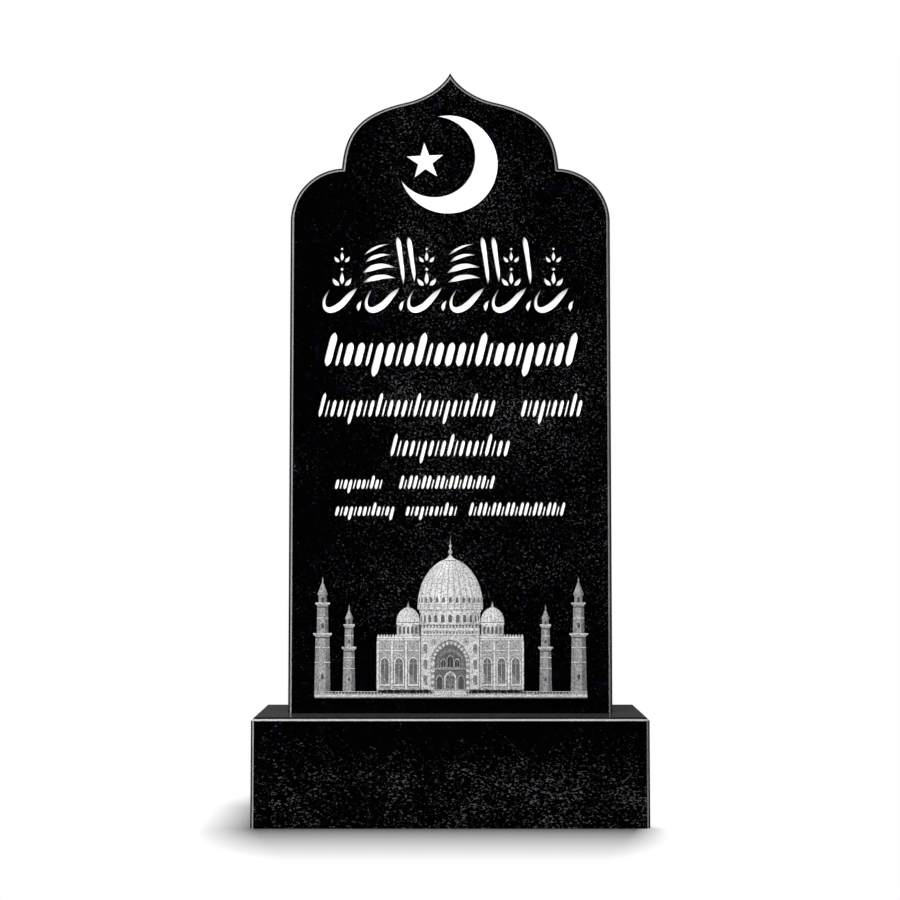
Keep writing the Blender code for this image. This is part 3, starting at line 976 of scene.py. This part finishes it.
def ribbed_dome(cx, half, foot, top, ribs, tone):
    """Gores that darken away from the light, with a thin shadow beside each rib."""
    layers = []
    for k in range(ribs):
        start = math.pi * (k / ribs - 0.5)
        end = math.pi * ((k + 1) / ribs - 0.5)
        side = (k + 0.5) / ribs - 0.5
        shade = tone * (1.0 - SIDE_SHADE * abs(side + LIT_ASIDE)**SIDE_SHADE_BEND)
        layers.append((shade * RIB_TONE, gore(cx, half, foot, top, start, end)))
        layers.append((shade, gore(cx, half, foot, top, start + RIB_WIDTH * (end - start), end)))
    return layers


def spike(cx, foot, top, half, tone):
    """A finial: a thin spike through two balls."""
    layers = [(tone, [(cx - half, foot), (cx + half, foot), (cx, top)])]
    for share, size in SPIKE_BALLS:
        layers.append((tone, disc(cx, foot + (top - foot) * share, half * size, 9)))
    return layers


def octagon_stage(cx, foot_half, top_half, foot, top):
    """Three visible sides of a tapering octagonal stage, each in its own tone."""
    layers = []
    for left, right, tone in TOWER_SIDES:
        layers.append((tone, [(cx + left * foot_half, foot), (cx + right * foot_half, foot),
                              (cx + right * top_half, top), (cx + left * top_half, top)]))
    return layers


def balcony(cx, half, z):
    """A bracketed walk round a tower, with its shadow below."""
    neck, brink, rail = half * 0.95, half * 1.3, half * 1.38
    return [
        (0.22, box(cx - half, cx + half, z - 5.0, z)),
        (0.66, [(cx - neck, z - 3.6), (cx + neck, z - 3.6), (cx + brink, z), (cx - brink, z)]),
        (0.95, box(cx - rail, cx + rail, z, z + 2.6)),
        (0.40, box(cx - brink, cx + brink, z + 0.9, z + 1.4)),
    ]


def slit(cx, half, foot, spring, apex):
    return arch(cx, half, foot, spring, apex, 3)


def tower(cx, half, foot, top):
    """An octagonal tower in three stages that step in at its walks, under a pointed roof."""
    rise = top - foot
    layers = []
    for low, high, low_share, high_share in TOWER_STAGES:
        halves = half * low_share, half * high_share
        layers += octagon_stage(cx, *halves, foot + rise * low, foot + rise * high)
    for level, share in TOWER_RINGS:
        z, reach = foot + rise * level, half * share
        layers += ledges(cx - reach, cx + reach, ((z, 0.45, 0.9), (z + 0.9, 0.97, 1.0)))
    layers += balcony(cx, half * 0.84, foot + rise * LOWER_WALK)
    layers += balcony(cx, half * 0.64, foot + rise * UPPER_WALK)
    lantern = foot + rise * 0.80
    layers.append((0.30, slit(cx, half * 0.16, lantern + 1, lantern + rise * 0.04, lantern + rise * 0.058)))
    for level in (0.13, 0.58):
        z = foot + rise * level
        layers.append((0.32, slit(cx, half * 0.17, z, z + rise * 0.03, z + rise * 0.045)))
    eaves, bend = foot + rise * EAVES, top - rise * 0.035
    roof = half * 0.66
    tip = roof * 0.3
    layers.append((0.50, box(cx - roof * 0.9, cx + roof * 0.9, eaves - 1.2, eaves)))
    layers.append((0.72, [(cx - roof, eaves), (cx + roof, eaves), (cx + tip, bend), (cx, top),
                          (cx - tip, bend)]))
    layers.append((0.54, [(cx + roof * 0.4, eaves), (cx + roof, eaves), (cx + tip, bend), (cx, top)]))
    return layers + spike(cx, top - 1, top + 7, 0.6, 0.7)


def parapet(left, right, foot, pitch):
    """Pointed merlons along the top of a wall."""
    count = round((right - left) / pitch)
    step = (right - left) / count
    half, eaves = 0.34 * step, foot + 2.2
    layers = []
    for k in range(count):
        x = left + (k + 0.5) * step
        layers.append((0.88, [(x - half, foot), (x + half, foot), (x + half, eaves), (x, foot + 4.2),
                              (x - half, eaves)]))
    return layers


def lancet(cx, half, foot, top):
    """A tall pointed window in a stepped frame, with a sill and a mullion."""
    spring = top - half * 1.3
    return [
        (0.44, arch(cx, half + 2.6, foot - 1.8, spring, top + 3.4)),
        (0.97, arch(cx, half + 1.9, foot - 1.2, spring, top + 2.5)),
        (0.46, arch(cx, half, foot, spring, top)),
        (0.62, [(cx - half, foot), (cx + half, foot), (cx - half, foot + (top - foot) * 0.45)]),
        (0.80, box(cx - 0.45, cx + 0.45, foot, top - 1.6)),
        (0.80, box(cx - half, cx + half, spring - 0.4, spring + 0.4)),
        (0.99, box(cx - half - 3.2, cx + half + 3.2, foot - 3.0, foot - 1.2)),
        (0.30, box(cx - half - 3.2, cx + half + 3.2, foot - 3.8, foot - 3.0)),
    ]


def roundel(cx, cz, radius):
    """A round window of six small lights."""
    layers = drawn(disc, (0.48, cx, cz, radius), (0.95, cx, cz, radius * 0.84), (0.46, cx, cz, radius * 0.62))
    ring = radius * 0.34
    for k in range(6):
        angle = math.tau * k / 6
        middle = cx + ring * math.cos(angle), cz + ring * math.sin(angle)
        layers.append((0.90, disc(*middle, radius * 0.14, 6)))
    return layers


def small_dome(cx):
    """A ribbed dome on a drum with five arched windows."""
    layers = drawn(box, (0.40, cx - 17.6, cx + 17.6, 118.4, 140.4), (0.84, cx - 17, cx - 8, 118.4, 139.6),
                   (0.95, cx - 8, cx + 6, 118.4, 139.6), (0.76, cx + 6, cx + 17, 118.4, 139.6))
    for k in range(5):
        layers.append((0.42, arch(cx - 12.4 + 6.2 * k, 1.9, 123, 131, 134.6, 4)))
    layers += drawn(box, (0.98, cx - 18.4, cx + 18.4, 137.6, 140.0),
                    (0.36, cx - 17.6, cx + 17.6, 140.0, 141.0))
    layers += ribbed_dome(cx, 18.0, 141, 164, 9, 0.99)
    return layers + spike(cx, 163, 174, 0.9, 0.72)


def wing(side):
    """The wall beside the front: three tall windows with roundels over them, under a small dome."""
    left, right = sorted((WING_INNER * side, WING_OUTER * side))
    layers = [(0.76, box(left, right, WALL_FOOT, WING_TOP))]
    layers += courses(left, right, 0.66, 13) + ledges(left, right, WING_LEDGES)
    for x in WINDOW_MIDDLES:
        layers += lancet(side * x, 6.0, 46, 86) + roundel(side * x, 104.2, 4.6)
    for x in PILASTERS:
        layers += drawn(box, (0.42, side * x - 2.2, side * x + 2.2, 38.4, 111.8),
                        (0.99, side * x - 1.6, side * x + 1.6, 38.4, 111.8))
    layers += parapet(left, right, 118.4, 4.6)
    return layers + small_dome(side * SMALL_DOME_MIDDLE)


def striped_arch(half, foot, spring, apex, thickness, stones):
    """An arch ring of alternating pale and dark stones."""
    ring = arch(0, half + thickness, foot, spring, apex + thickness, GATE_STEPS)
    layers = [(0.96, ring)]
    inner, outer = arch(0, half, foot, spring, apex, GATE_STEPS)[2:], ring[2:]
    for k in range(0, len(inner) - 1, 2):
        layers.append((0.62, [inner[k], outer[k], outer[k + 1], inner[k + 1]]))
    for k in range(1, stones, 2):
        z = foot + (spring - foot) * k / stones
        for side in (-1, 1):
            x = sorted((side * half, side * (half + thickness)))
            layers.append((0.62, box(*x, z, z + (spring - foot) / stones)))
    return layers


def front_wall():
    """The hall's tall front, with rows of niches beside the gate."""
    layers = drawn(box, (0.30, -46.4, 46.4, WALL_FOOT, 133), (0.90, -FRONT_HALF, FRONT_HALF, WALL_FOOT, 132))
    layers += courses(-FRONT_HALF, FRONT_HALF, 0.82, 15) + ledges(-FRONT_HALF, FRONT_HALF, FRONT_LEDGES)
    for k in range(17):
        layers.append((0.52, arch(-40 + 5 * k, 1.4, 123.2, 124.8, 126.6, 3)))
    for side in (-1, 1):
        x = side * 38.4
        for foot, top in ((44, 60), (68, 84), (92, 108)):
            layers += drawn(arch, (0.99, x, 4.4, foot - 1, top - 4, top + 2.4, 5),
                            (0.56, x, 3.2, foot, top - 4.4, top, 5))
            layers.append((0.74, [(x - 3.2, foot), (x + 3.2, foot), (x - 3.2, foot + 7)]))
        layers += roundel(side * 24.5, 111, 4.4)
    return layers


def gate():
    """The great arch: windows over a lintel, and a door between two niches."""
    layers = [(0.44, arch(0, 30.0, DOOR_FOOT, GATE_SPRING, 114.4, GATE_STEPS))]
    layers += striped_arch(GATE_HALF, DOOR_FOOT, GATE_SPRING, GATE_APEX, 4.8, 9)
    layers += drawn(arch, (0.46, 0, GATE_HALF, DOOR_FOOT, GATE_SPRING, GATE_APEX, GATE_STEPS),
                    (0.56, 0, 20.8, 70, 80, 100, 12), (0.42, 0, 17.4, 70, GATE_SPRING, 95, 12))
    layers += drawn(box, (0.72, -GATE_HALF, GATE_HALF, 68.2, 70.4), (0.34, -GATE_HALF, GATE_HALF, 67.2, 68.2))
    for x, half, top in ((-10.6, 3.6, 84), (0, 4.4, 89), (10.6, 3.6, 84)):
        layers += drawn(arch, (0.80, x, half + 1.0, 71, top - 6, top + 1.6, 5),
                        (0.26, x, half, 72, top - 6, top, 5))
        layers.append((0.72, box(x - 0.35, x + 0.35, 72, top - 2)))
    for x in (-16.6, 16.6):
        layers += drawn(arch, (0.76, x, 5.6, DOOR_FOOT, 52, 60.4, 5), (0.36, x, 4.4, 38.2, 51.4, 58.6, 5))
    layers += drawn(arch, (0.99, 0, 9.4, DOOR_FOOT, 54, 65.6, 8), (0.66, 0, 7.8, DOOR_FOOT, 53.4, 63.4, 8))
    layers.append((0.30, box(-0.4, 0.4, DOOR_FOOT, 62)))
    for side in (-1, 1):
        for z in (39.4, 46.4, 53.0):
            layers.append((0.44, box(side * 3.9 - 2.4, side * 3.9 + 2.4, z, z + 5.2)))
    return layers


def portal():
    """The middle of the hall."""
    return front_wall() + gate() + parapet(-FRONT_HALF, FRONT_HALF, 132.4, 5.0)


def drum():
    """The round wall under the main dome, with windows that narrow towards its sides."""
    layers = [(0.40, box(-46.5, 46.5, 133, 159.4))]
    for k in range(DRUM_SIDES):
        left, right = (-DRUM_HALF + 2 * DRUM_HALF * n / DRUM_SIDES for n in (k, k + 1))
        side = (k + 0.5) / DRUM_SIDES - 0.5
        layers.append((0.97 - SIDE_SHADE * abs(side + LIT_ASIDE), box(left, right, 137, 158)))
    for k in range(11):
        turn = math.pi * (k - 5) / 12.4
        x, half = DRUM_HALF * math.sin(turn), 3.0 * math.cos(turn)
        layers += drawn(arch, (0.99, x, half + 0.8, 139.6, 148.4, 154.4, 4),
                        (0.44, x, half, 140.4, 148.0, 153.0, 4))
    layers += drawn(box, (0.99, -47.4, 47.4, 156.0, 159.0), (0.36, -46.8, 46.8, 159.0, 160.2))
    for k in range(24):
        x = -44.6 + 3.88 * k
        layers.append((0.56, box(x - 0.8, x + 0.8, 156.6, 158.0)))
    return layers


def main_dome():
    """The great ribbed dome, with small windows round its foot."""
    layers = ribbed_dome(0, 50.5, 160.2, 240, 15, 1.0)
    for z, half in ((164.0, 50.3), (167.4, 50.2)):
        layers.append((0.66, box(-half, half, z, z + 0.8)))
    for k in range(15):
        turn = math.pi * (k - 7) / 15
        x, half = 50.2 * math.sin(turn), 2.3 * math.cos(turn)
        layers.append((0.46, arch(x, half, 171.0, 176.0, 179.6, 4)))
    layers.append((0.99, [(-9, 236.4), (9, 236.4), (4.4, 240.2), (1.6, 244), (-1.6, 244), (-4.4, 240.2)]))
    layers.append((0.50, box(-9.4, 9.4, 235.2, 236.4)))
    return layers + spike(0, 243, 273, 1.5, 0.78)


def terrace():
    """The wall that the hall stands on, its railing, the steps to the gate and clipped bushes."""
    ends = (TERRACE_LEFT, TERRACE_RIGHT)
    layers = drawn(box, (0.96, *ends, 26.4, 31.4), (0.56, *ends, 24.6, 26.4), (0.36, *ends, 30.2, 30.8))
    for k in range(84):
        x = -207 + 5.0 * k
        layers.append((0.74, box(x - 0.7, x + 0.7, 31.4, 34.2)))
    layers.append((0.86, box(*ends, 33.8, 34.8)))
    for step in range(4):
        half, foot = STEP_HALF + STEP_TREAD * step, STEP_TOP - STEP_RISE * step
        layers.append((0.96 - 0.14 * (step % 2), box(-half, half, foot, foot + STEP_RISE)))
    for k in range(22):
        x = 31.0 + 3.7 * k
        bush = 2.0 + 1.3 * ((k * 7) % 5) / 4
        for side in (-1, 1):
            layers.append((0.12 if k % 3 else 0.3, disc(side * x, 35.2, bush, 8)))
    return layers


def picture_layers():
    """The whole picture, from the towers behind to the terrace in front."""
    layers = []
    for sizes in TOWERS:
        layers += tower(*sizes)
    layers += wing(-1) + wing(1) + drum() + main_dome() + portal() + terrace()
    return [(tone, [(x, z - PICTURE_DROP) for x, z in outline]) for tone, outline in layers]


# The face is filled inside its outlines only, and points this close, in millimetres, are one
INSIDE_ONLY = 1
CDT_CLOSE = 1e-5
# What is welded and what is taken for a sliver, and the corner that shows as sharp
WELD = 0.002 * MM
SLIVER = 0.001 * MM
SHARP_CORNER = math.radians(20)
# Bend from a tone as it looks to the share of light that it gives back
TONE_BEND = 2.2


def anticlockwise(points):
    """The outline's points, turned round if they ran clockwise."""
    area = sum(a[0] * b[1] - b[0] * a[1] for a, b in zip(points, points[1:] + points[:1]))
    return points if area > 0 else points[::-1]


def face_pieces(rim, carved, layers):
    """Splits the face inside the rim: (points, faces) with each face's tone, None for polished stone."""
    points, outlines = [], []
    for outline in [rim, *carved, *(layer[1] for layer in layers)]:
        outline = anticlockwise(outline)
        outlines.append(list(range(len(points), len(points) + len(outline))))
        points += [Vector(p) for p in outline]
    first_layer = 1 + len(carved)
    places, _, faces, _, _, origins = delaunay_2d_cdt(points, [], outlines, INSIDE_ONLY, CDT_CLOSE, True)
    kept = []
    for face, ids in zip(faces, origins):
        if any(0 < i < first_layer for i in ids) or not ids:
            continue
        top = max(ids)
        kept.append((face, layers[top - first_layer][0] if top >= first_layer else None))
    return places, kept


def to_object(name, work, materials):
    """An object from a bmesh, welded, facing outwards, with smooth rounds and sharp corners."""
    bmesh.ops.remove_doubles(work, verts=work.verts, dist=WELD)
    bmesh.ops.dissolve_degenerate(work, edges=work.edges, dist=SLIVER)
    bmesh.ops.recalc_face_normals(work, faces=work.faces)
    mesh = bpy.data.meshes.new(name)
    work.to_mesh(mesh)
    work.free()
    for material in materials:
        mesh.materials.append(material)
    mesh.shade_smooth()
    mesh.set_sharp_from_angle(angle=SHARP_CORNER)
    made = bpy.data.objects.new(name, mesh)
    bpy.context.scene.collection.objects.link(made)
    return made


def make_stele(shape, finish):
    """The slab: a carved, painted and etched face, chamfered front and back, plain sides and a plain back."""
    _, thickness, height, low = slab_size()
    height_mm = height / MM
    front, back = low.y, low.y + thickness
    work = bmesh.new()
    # Per corner: the etched picture's tone, and painted shade at the ends of the band's strokes
    tint = work.loops.layers.float_color.new("tint")

    def vert(x, y, z):
        return work.verts.new((x * MM, y, low.z + z * MM))

    def add_face(corners, material, tones_and_shades=None):
        made = work.faces.new(corners)
        made.material_index = material
        for loop, value in zip(made.loops, tones_and_shades or [1.0] * len(corners)):
            loop[tint] = (value, value, value, 1.0)

    right = right_outline(shape)
    chamfer = shape.chamfer / MM
    rim_width = shape.polished_rim / MM
    full = mirrored(right)
    step = mirrored(inset_right(right, rim_width))
    edge = mirrored(inset_right(right, chamfer))
    inner = mirrored(inset_right(right, chamfer + shape.honed_highlight_lip / MM))
    step_depth = (chamfer - rim_width) * MM
    levels = [
        (inner, front), (edge, front), (step, front + step_depth), (full, front + chamfer * MM),
        (full, back - chamfer * MM), (step, back - step_depth), (edge, back), (inner, back),
    ]
    rings = [[vert(x, y, z) for x, z in outline] for outline, y in levels]
    # Honed strips: the unpolished finish, also standing in as a painted highlight line
    finishes = (HONED_AND_HIGHLIGHT, HONED_AND_HIGHLIGHT, POLISHED, POLISHED, POLISHED, HONED_AND_HIGHLIGHT, HONED_AND_HIGHLIGHT)
    right_foot = len(right) - 1
    for ring, following, material in zip(rings, rings[1:], finishes):
        for k in range(len(full)):
            if k != right_foot:
                after = (k + 1) % len(full)
                add_face((ring[k], ring[after], following[after], following[k]), material)
    feet = [ring[right_foot] for ring in rings] + [ring[right_foot + 1] for ring in reversed(rings)]
    add_face(feet, POLISHED)
    add_face(rings[-1], POLISHED)

    carved = carvings(shape, height_mm)
    rim = [p for k, p in enumerate(inner) if k == 0 or p != inner[k - 1]]
    if rim[-1] == rim[0]:
        rim.pop()
    places, pieces = face_pieces(rim, [c[0] for c in carved], picture_layers())
    corners = [vert(p.x, front, p.y) for p in places]
    for face, tone in pieces:
        if tone is None:
            add_face([corners[k] for k in face], POLISHED)
        else:
            add_face([corners[k] for k in face], ETCHED, [tone**TONE_BEND] * len(face))

    floor_y = front + shape.carve_depth
    for rim_line, floor_line, tones_and_shades in carved:
        top = [vert(x, front, z) for x, z in rim_line]
        bottom = [vert(x, floor_y, z) for x, z in floor_line]
        count = len(top)
        for k in range(count):
            after = (k + 1) % count
            shades = [tones_and_shades[k], tones_and_shades[after], tones_and_shades[after], tones_and_shades[k]]
            add_face((top[k], top[after], bottom[after], bottom[k]), PAINTED, shades)
        add_face(bottom, PAINTED, tones_and_shades)

    materials = [
        polished_granite("Stele granite", finish, STELE_GRAIN),
        honed_granite_and_highlight("Stele honed edge", finish, 0.0),
        carving_paint("Carving paint", finish),
        etched_stone("Etched picture", finish),
    ]
    stele = to_object("carved_stele", work, materials)
    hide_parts("stele")
    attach(stele, "root")


def inset_ring(outline, width):
    """The corners of a closed outline, anticlockwise, moved in by this width."""
    moved = []
    for k, point in enumerate(outline):
        here = Vector(point)
        sides = here - Vector(outline[k - 1]), Vector(outline[(k + 1) % len(outline)]) - here
        inward = [Vector((-d.y, d.x)).normalized() for d in sides]
        mitre = (inward[0] + inward[1]).normalized()
        moved.append(tuple(here + mitre * width / mitre.dot(inward[0])))
    return moved


def make_base(shape, finish):
    """The block, its upright corners and top edge chamfered, each chamfer part honed and part polished."""
    low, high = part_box("base")
    chamfer = shape.chamfer
    honed = chamfer * shape.honed_share
    outline = []
    for x, y, turn in ((low.x, low.y, 1), (high.x, low.y, -1), (high.x, high.y, 1), (low.x, high.y, -1)):
        side, face = (1 if x < 0 else -1), (1 if y < 0 else -1)
        outline += [(x + side * along, y + face * (chamfer - along))
                    for along in (0.0, chamfer - honed, chamfer)[::turn]]
    work = bmesh.new()
    levels = ((0.0, low.z), (0.0, high.z - chamfer), (honed, high.z - chamfer + honed), (chamfer, high.z))
    rings = [[work.verts.new((x, y, z)) for x, y in inset_ring(outline, inset)] for inset, z in levels]
    upright = (POLISHED, HONED_AND_HIGHLIGHT, POLISHED, HONED_AND_HIGHLIGHT, POLISHED, POLISHED) * 2
    sides = len(outline)
    for ring, above, finishes in zip(rings, rings[1:], (upright, (HONED_AND_HIGHLIGHT,) * sides, (POLISHED,) * sides)):
        for k, material in enumerate(finishes):
            after = (k + 1) % len(ring)
            work.faces.new((ring[k], ring[after], above[after], above[k])).material_index = material
    work.faces.new(rings[0])
    work.faces.new(rings[-1])
    materials = [polished_granite("Base granite", finish, BASE_GRAIN),
                 honed_granite_and_highlight("Base honed edge", finish, finish.ledge_painted_highlight)]
    base = to_object("base_block", work, materials)
    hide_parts("base")
    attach(base, "root")


# Lights: place, the point that each aims at, width and height, the stage's property with its power, and
# whether the polished stone mirrors it
MIDDLE = (0.0, 0.0, 0.6)
LIGHTS = {
    "Front": ((-1.6, -3.4, 1.5), MIDDLE, (2.4, 2.2), "front_power", False),
    "Key": ((-2.6, -1.3, 1.7), MIDDLE, (1.2, 2.2), "key_power", True),
    "Fill": ((2.6, -1.0, 1.2), MIDDLE, (1.0, 2.0), "fill_power", True),
    "Top": ((-0.2, -0.6, 3.0), (0.0, 0.0, 0.4), (2.2, 1.8), "top_power", False),
    "Back": ((-1.2, 3.0, 2.0), MIDDLE, (2.4, 2.0), "back_power", False),
}
# Surroundings that the stone mirrors, each from one part of the direction to another, and its light there:
# paler overhead, dimmer towards the camera, and a panel at each side that is dimmer low down
OVERHEAD = (0.3, 0.95, 0.05, 0.42)
TOWARDS_CAMERA = (-0.9, 0.1, 0.15, 1.0)
SIDE_PANEL = (0.8, 0.97)
PANEL_HEIGHT = (-0.3, 0.4, 0.2, 0.8)
# How brightly the stone mirrors the floor, from this far beside the middle line to this far
MIRRORED_FLOOR = (0.8, 2.2, 0.99, 0.25)
FLOOR_PALE = 0.8
FLOOR_REACH = 7.0
FLOOR_CELLS = 8
# How the contact shadow fades: each side's bend, the bend that joins them, and that of the whole
SIDE_FADE = 1.5
JOINED_FADE = 0.667
WHOLE_FADE = 0.8
CAMERA_ASIDE = -0.4 * MM
SENSOR_WIDTH = 36.0
BLACK = (0.0, 0.0, 0.0)
WHITE = (1.0, 1.0, 1.0)


def add_light(name, place, aim, size, power, mirrored_in_stone):
    data = bpy.data.lights.new(name, "AREA")
    data.shape = "RECTANGLE"
    data.size, data.size_y = size
    data.energy = power
    light = bpy.data.objects.new(name, data)
    light.location = place
    light.rotation_euler = (Vector(aim) - Vector(place)).to_track_quat("-Z", "Y").to_euler()
    light.visible_camera = False
    light.visible_glossy = mirrored_in_stone
    bpy.context.scene.collection.objects.link(light)


def studio_world():
    """White behind the object, and dim surroundings, brighter overhead and behind, that the stone mirrors."""
    world = bpy.data.worlds.new("Studio")
    world.use_nodes = True
    nodes, links = world.node_tree.nodes, world.node_tree.links
    nodes.clear()
    towards = add_split(nodes, links, nodes.new("ShaderNodeTexCoord").outputs["Generated"])
    around = nodes.new("ShaderNodeBackground")
    ceiling = add_math(nodes, links, "MULTIPLY", add_range(nodes, links, towards["Z"], *OVERHEAD),
                       add_range(nodes, links, towards["Y"], *TOWARDS_CAMERA))
    sideways = add_math(nodes, links, "ABSOLUTE", towards["X"])
    panels = add_math(nodes, links, "MULTIPLY", add_range(nodes, links, sideways, *SIDE_PANEL),
                      add_range(nodes, links, towards["Z"], *PANEL_HEIGHT))
    links.new(add_math(nodes, links, "ADD", ceiling, panels), around.inputs["Color"])
    behind = nodes.new("ShaderNodeBackground")
    behind.inputs["Color"].default_value = (*WHITE, 1.0)
    mix = nodes.new("ShaderNodeMixShader")
    links.new(nodes.new("ShaderNodeLightPath").outputs["Is Camera Ray"], mix.inputs[0])
    links.new(around.outputs[0], mix.inputs[1])
    links.new(behind.outputs[0], mix.inputs[2])
    links.new(mix.outputs[0], nodes.new("ShaderNodeOutputWorld").inputs["Surface"])
    bpy.context.scene.world = world


def floor_material(stage):
    """White paper with a painted contact shadow towards the foot of the base, shown by its own glow, and
    painted dim where the stone mirrors it.
    """
    low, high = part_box("base")
    made, nodes, links, surface = new_material("Floor paper")
    spot = add_split(nodes, links, object_place(nodes))
    x, y = spot["X"], spot["Y"]
    # Painted contact shadow, worked out from the distance to the base
    depth = add_math(nodes, links, "ABSOLUTE", y)
    front = add_range(nodes, links, depth, high.y, high.y + stage.front_shadow)
    taper = add_math(nodes, links, "MULTIPLY", front, stage.shadow_taper)
    left_edge = low.x + stage.shadow_inset - stage.shadow_drift
    left_start = add_math(nodes, links, "ADD", left_edge, taper)
    left = add_range(nodes, links, x, left_start, left_edge - stage.left_shadow)
    slanted = add_math(nodes, links, "ADD", x, add_range(nodes, links, y, low.y, 0.0, 0.0, stage.right_gap))
    right_edge = high.x - stage.shadow_inset - stage.shadow_drift
    right_start = add_math(nodes, links, "SUBTRACT", right_edge, taper)
    right = add_range(nodes, links, slanted, right_start, right_edge + stage.right_shadow)
    beside = add_math(nodes, links, "POWER", add_math(nodes, links, "MAXIMUM", left, right), SIDE_FADE)
    before = add_math(nodes, links, "POWER", front, SIDE_FADE)
    away = add_math(nodes, links, "POWER", add_math(nodes, links, "ADD", beside, before), JOINED_FADE)
    eased = add_math(nodes, links, "POWER", add_math(nodes, links, "MINIMUM", away, 1.0), WHOLE_FADE)
    shade = add_mix(nodes, links, eased, (stage.shadow_tone,) * 3, WHITE)

    # The floor shows the camera only its glow, and is painted dimmer in the stone's reflection
    path = nodes.new("ShaderNodeLightPath").outputs
    mirrored_tone = add_range(nodes, links, add_math(nodes, links, "ABSOLUTE", x), *MIRRORED_FLOOR)
    unlit = add_math(nodes, links, "MAXIMUM", path["Is Camera Ray"],
                     add_math(nodes, links, "MULTIPLY", path["Is Glossy Ray"], mirrored_tone))
    links.new(add_mix(nodes, links, unlit, (FLOOR_PALE,) * 3, BLACK), surface.inputs["Base Color"])
    glow_with_painted_shadow = add_mix(nodes, links, path["Is Camera Ray"], BLACK, shade)
    links.new(glow_with_painted_shadow, surface.inputs["Emission Color"])
    surface.inputs["Emission Strength"].default_value = 1.0
    surface.inputs["Roughness"].default_value = 0.9
    surface.inputs["Specular IOR Level"].default_value = 0.0
    return made


def make_stage(stage):
    """The floor, the studio's light and the camera."""
    work = bmesh.new()
    bmesh.ops.create_grid(work, x_segments=FLOOR_CELLS, y_segments=FLOOR_CELLS, size=FLOOR_REACH)
    mesh = bpy.data.meshes.new("floor")
    work.to_mesh(mesh)
    work.free()
    mesh.materials.append(floor_material(stage))
    floor = bpy.data.objects.new("floor", mesh)
    bpy.context.scene.collection.objects.link(floor)

    studio_world()
    for name, (place, aim, size, power, mirrored_in_stone) in LIGHTS.items():
        add_light(name, place, aim, size, getattr(stage, power), mirrored_in_stone)

    data = bpy.data.cameras.new("Camera")
    data.lens = stage.lens
    data.sensor_width = SENSOR_WIDTH
    camera = bpy.data.objects.new("Camera", data)
    camera.location = (CAMERA_ASIDE, -stage.camera_distance, stage.camera_height)
    camera.rotation_euler = (math.pi / 2 + stage.camera_tilt, 0.0, 0.0)
    bpy.context.scene.collection.objects.link(camera)
    bpy.context.scene.camera = camera
    bpy.context.scene.view_settings.view_transform = "Standard"


class HEADSTONE_OT_stele(bpy.types.Operator):
    """Builds the carved, painted and etched stele"""

    bl_idname = "headstone.stele"
    bl_label = "Stele"

    def execute(self, context):
        make_stele(context.scene.headstone_shape, context.scene.headstone_finish)
        return {"FINISHED"}


class HEADSTONE_OT_base(bpy.types.Operator):
    """Builds the chamfered base block"""

    bl_idname = "headstone.base"
    bl_label = "Base block"

    def execute(self, context):
        make_base(context.scene.headstone_shape, context.scene.headstone_finish)
        return {"FINISHED"}


class HEADSTONE_OT_stage(bpy.types.Operator):
    """Sets the floor, the lights and the camera"""

    bl_idname = "headstone.stage"
    bl_label = "Stage"

    def execute(self, context):
        make_stage(context.scene.headstone_stage)
        return {"FINISHED"}


class HEADSTONE_PT_panel(bpy.types.Panel):
    """Lists the steps that build the headstone"""

    bl_idname = "HEADSTONE_PT_panel"
    bl_label = "Headstone"
    bl_space_type = "VIEW_3D"
    bl_region_type = "UI"
    bl_category = "Headstone"

    def draw(self, context):
        for group_name in GROUPS:
            group = getattr(context.scene, group_name)
            box_layout = self.layout.box()
            for name in group.__annotations__:
                box_layout.prop(group, name)
        for operator in (HEADSTONE_OT_stele, HEADSTONE_OT_base, HEADSTONE_OT_stage):
            self.layout.operator(operator.bl_idname)


CLASSES = (HeadstoneShape, HeadstoneFinish, HeadstoneStage, HEADSTONE_OT_stele, HEADSTONE_OT_base,
           HEADSTONE_OT_stage, HEADSTONE_PT_panel)
GROUPS = {
    "headstone_shape": HeadstoneShape,
    "headstone_finish": HeadstoneFinish,
    "headstone_stage": HeadstoneStage,
}


def register():
    for cls in CLASSES:
        bpy.utils.register_class(cls)
    for name, cls in GROUPS.items():
        setattr(bpy.types.Scene, name, bpy.props.PointerProperty(type=cls))


def unregister():
    for name in GROUPS:
        delattr(bpy.types.Scene, name)
    for cls in reversed(CLASSES):
        bpy.utils.unregister_class(cls)


def main():
    register()
    bpy.ops.headstone.stele()
    bpy.ops.headstone.base()
    bpy.ops.headstone.stage()


if __name__ == "__main__":
    main()
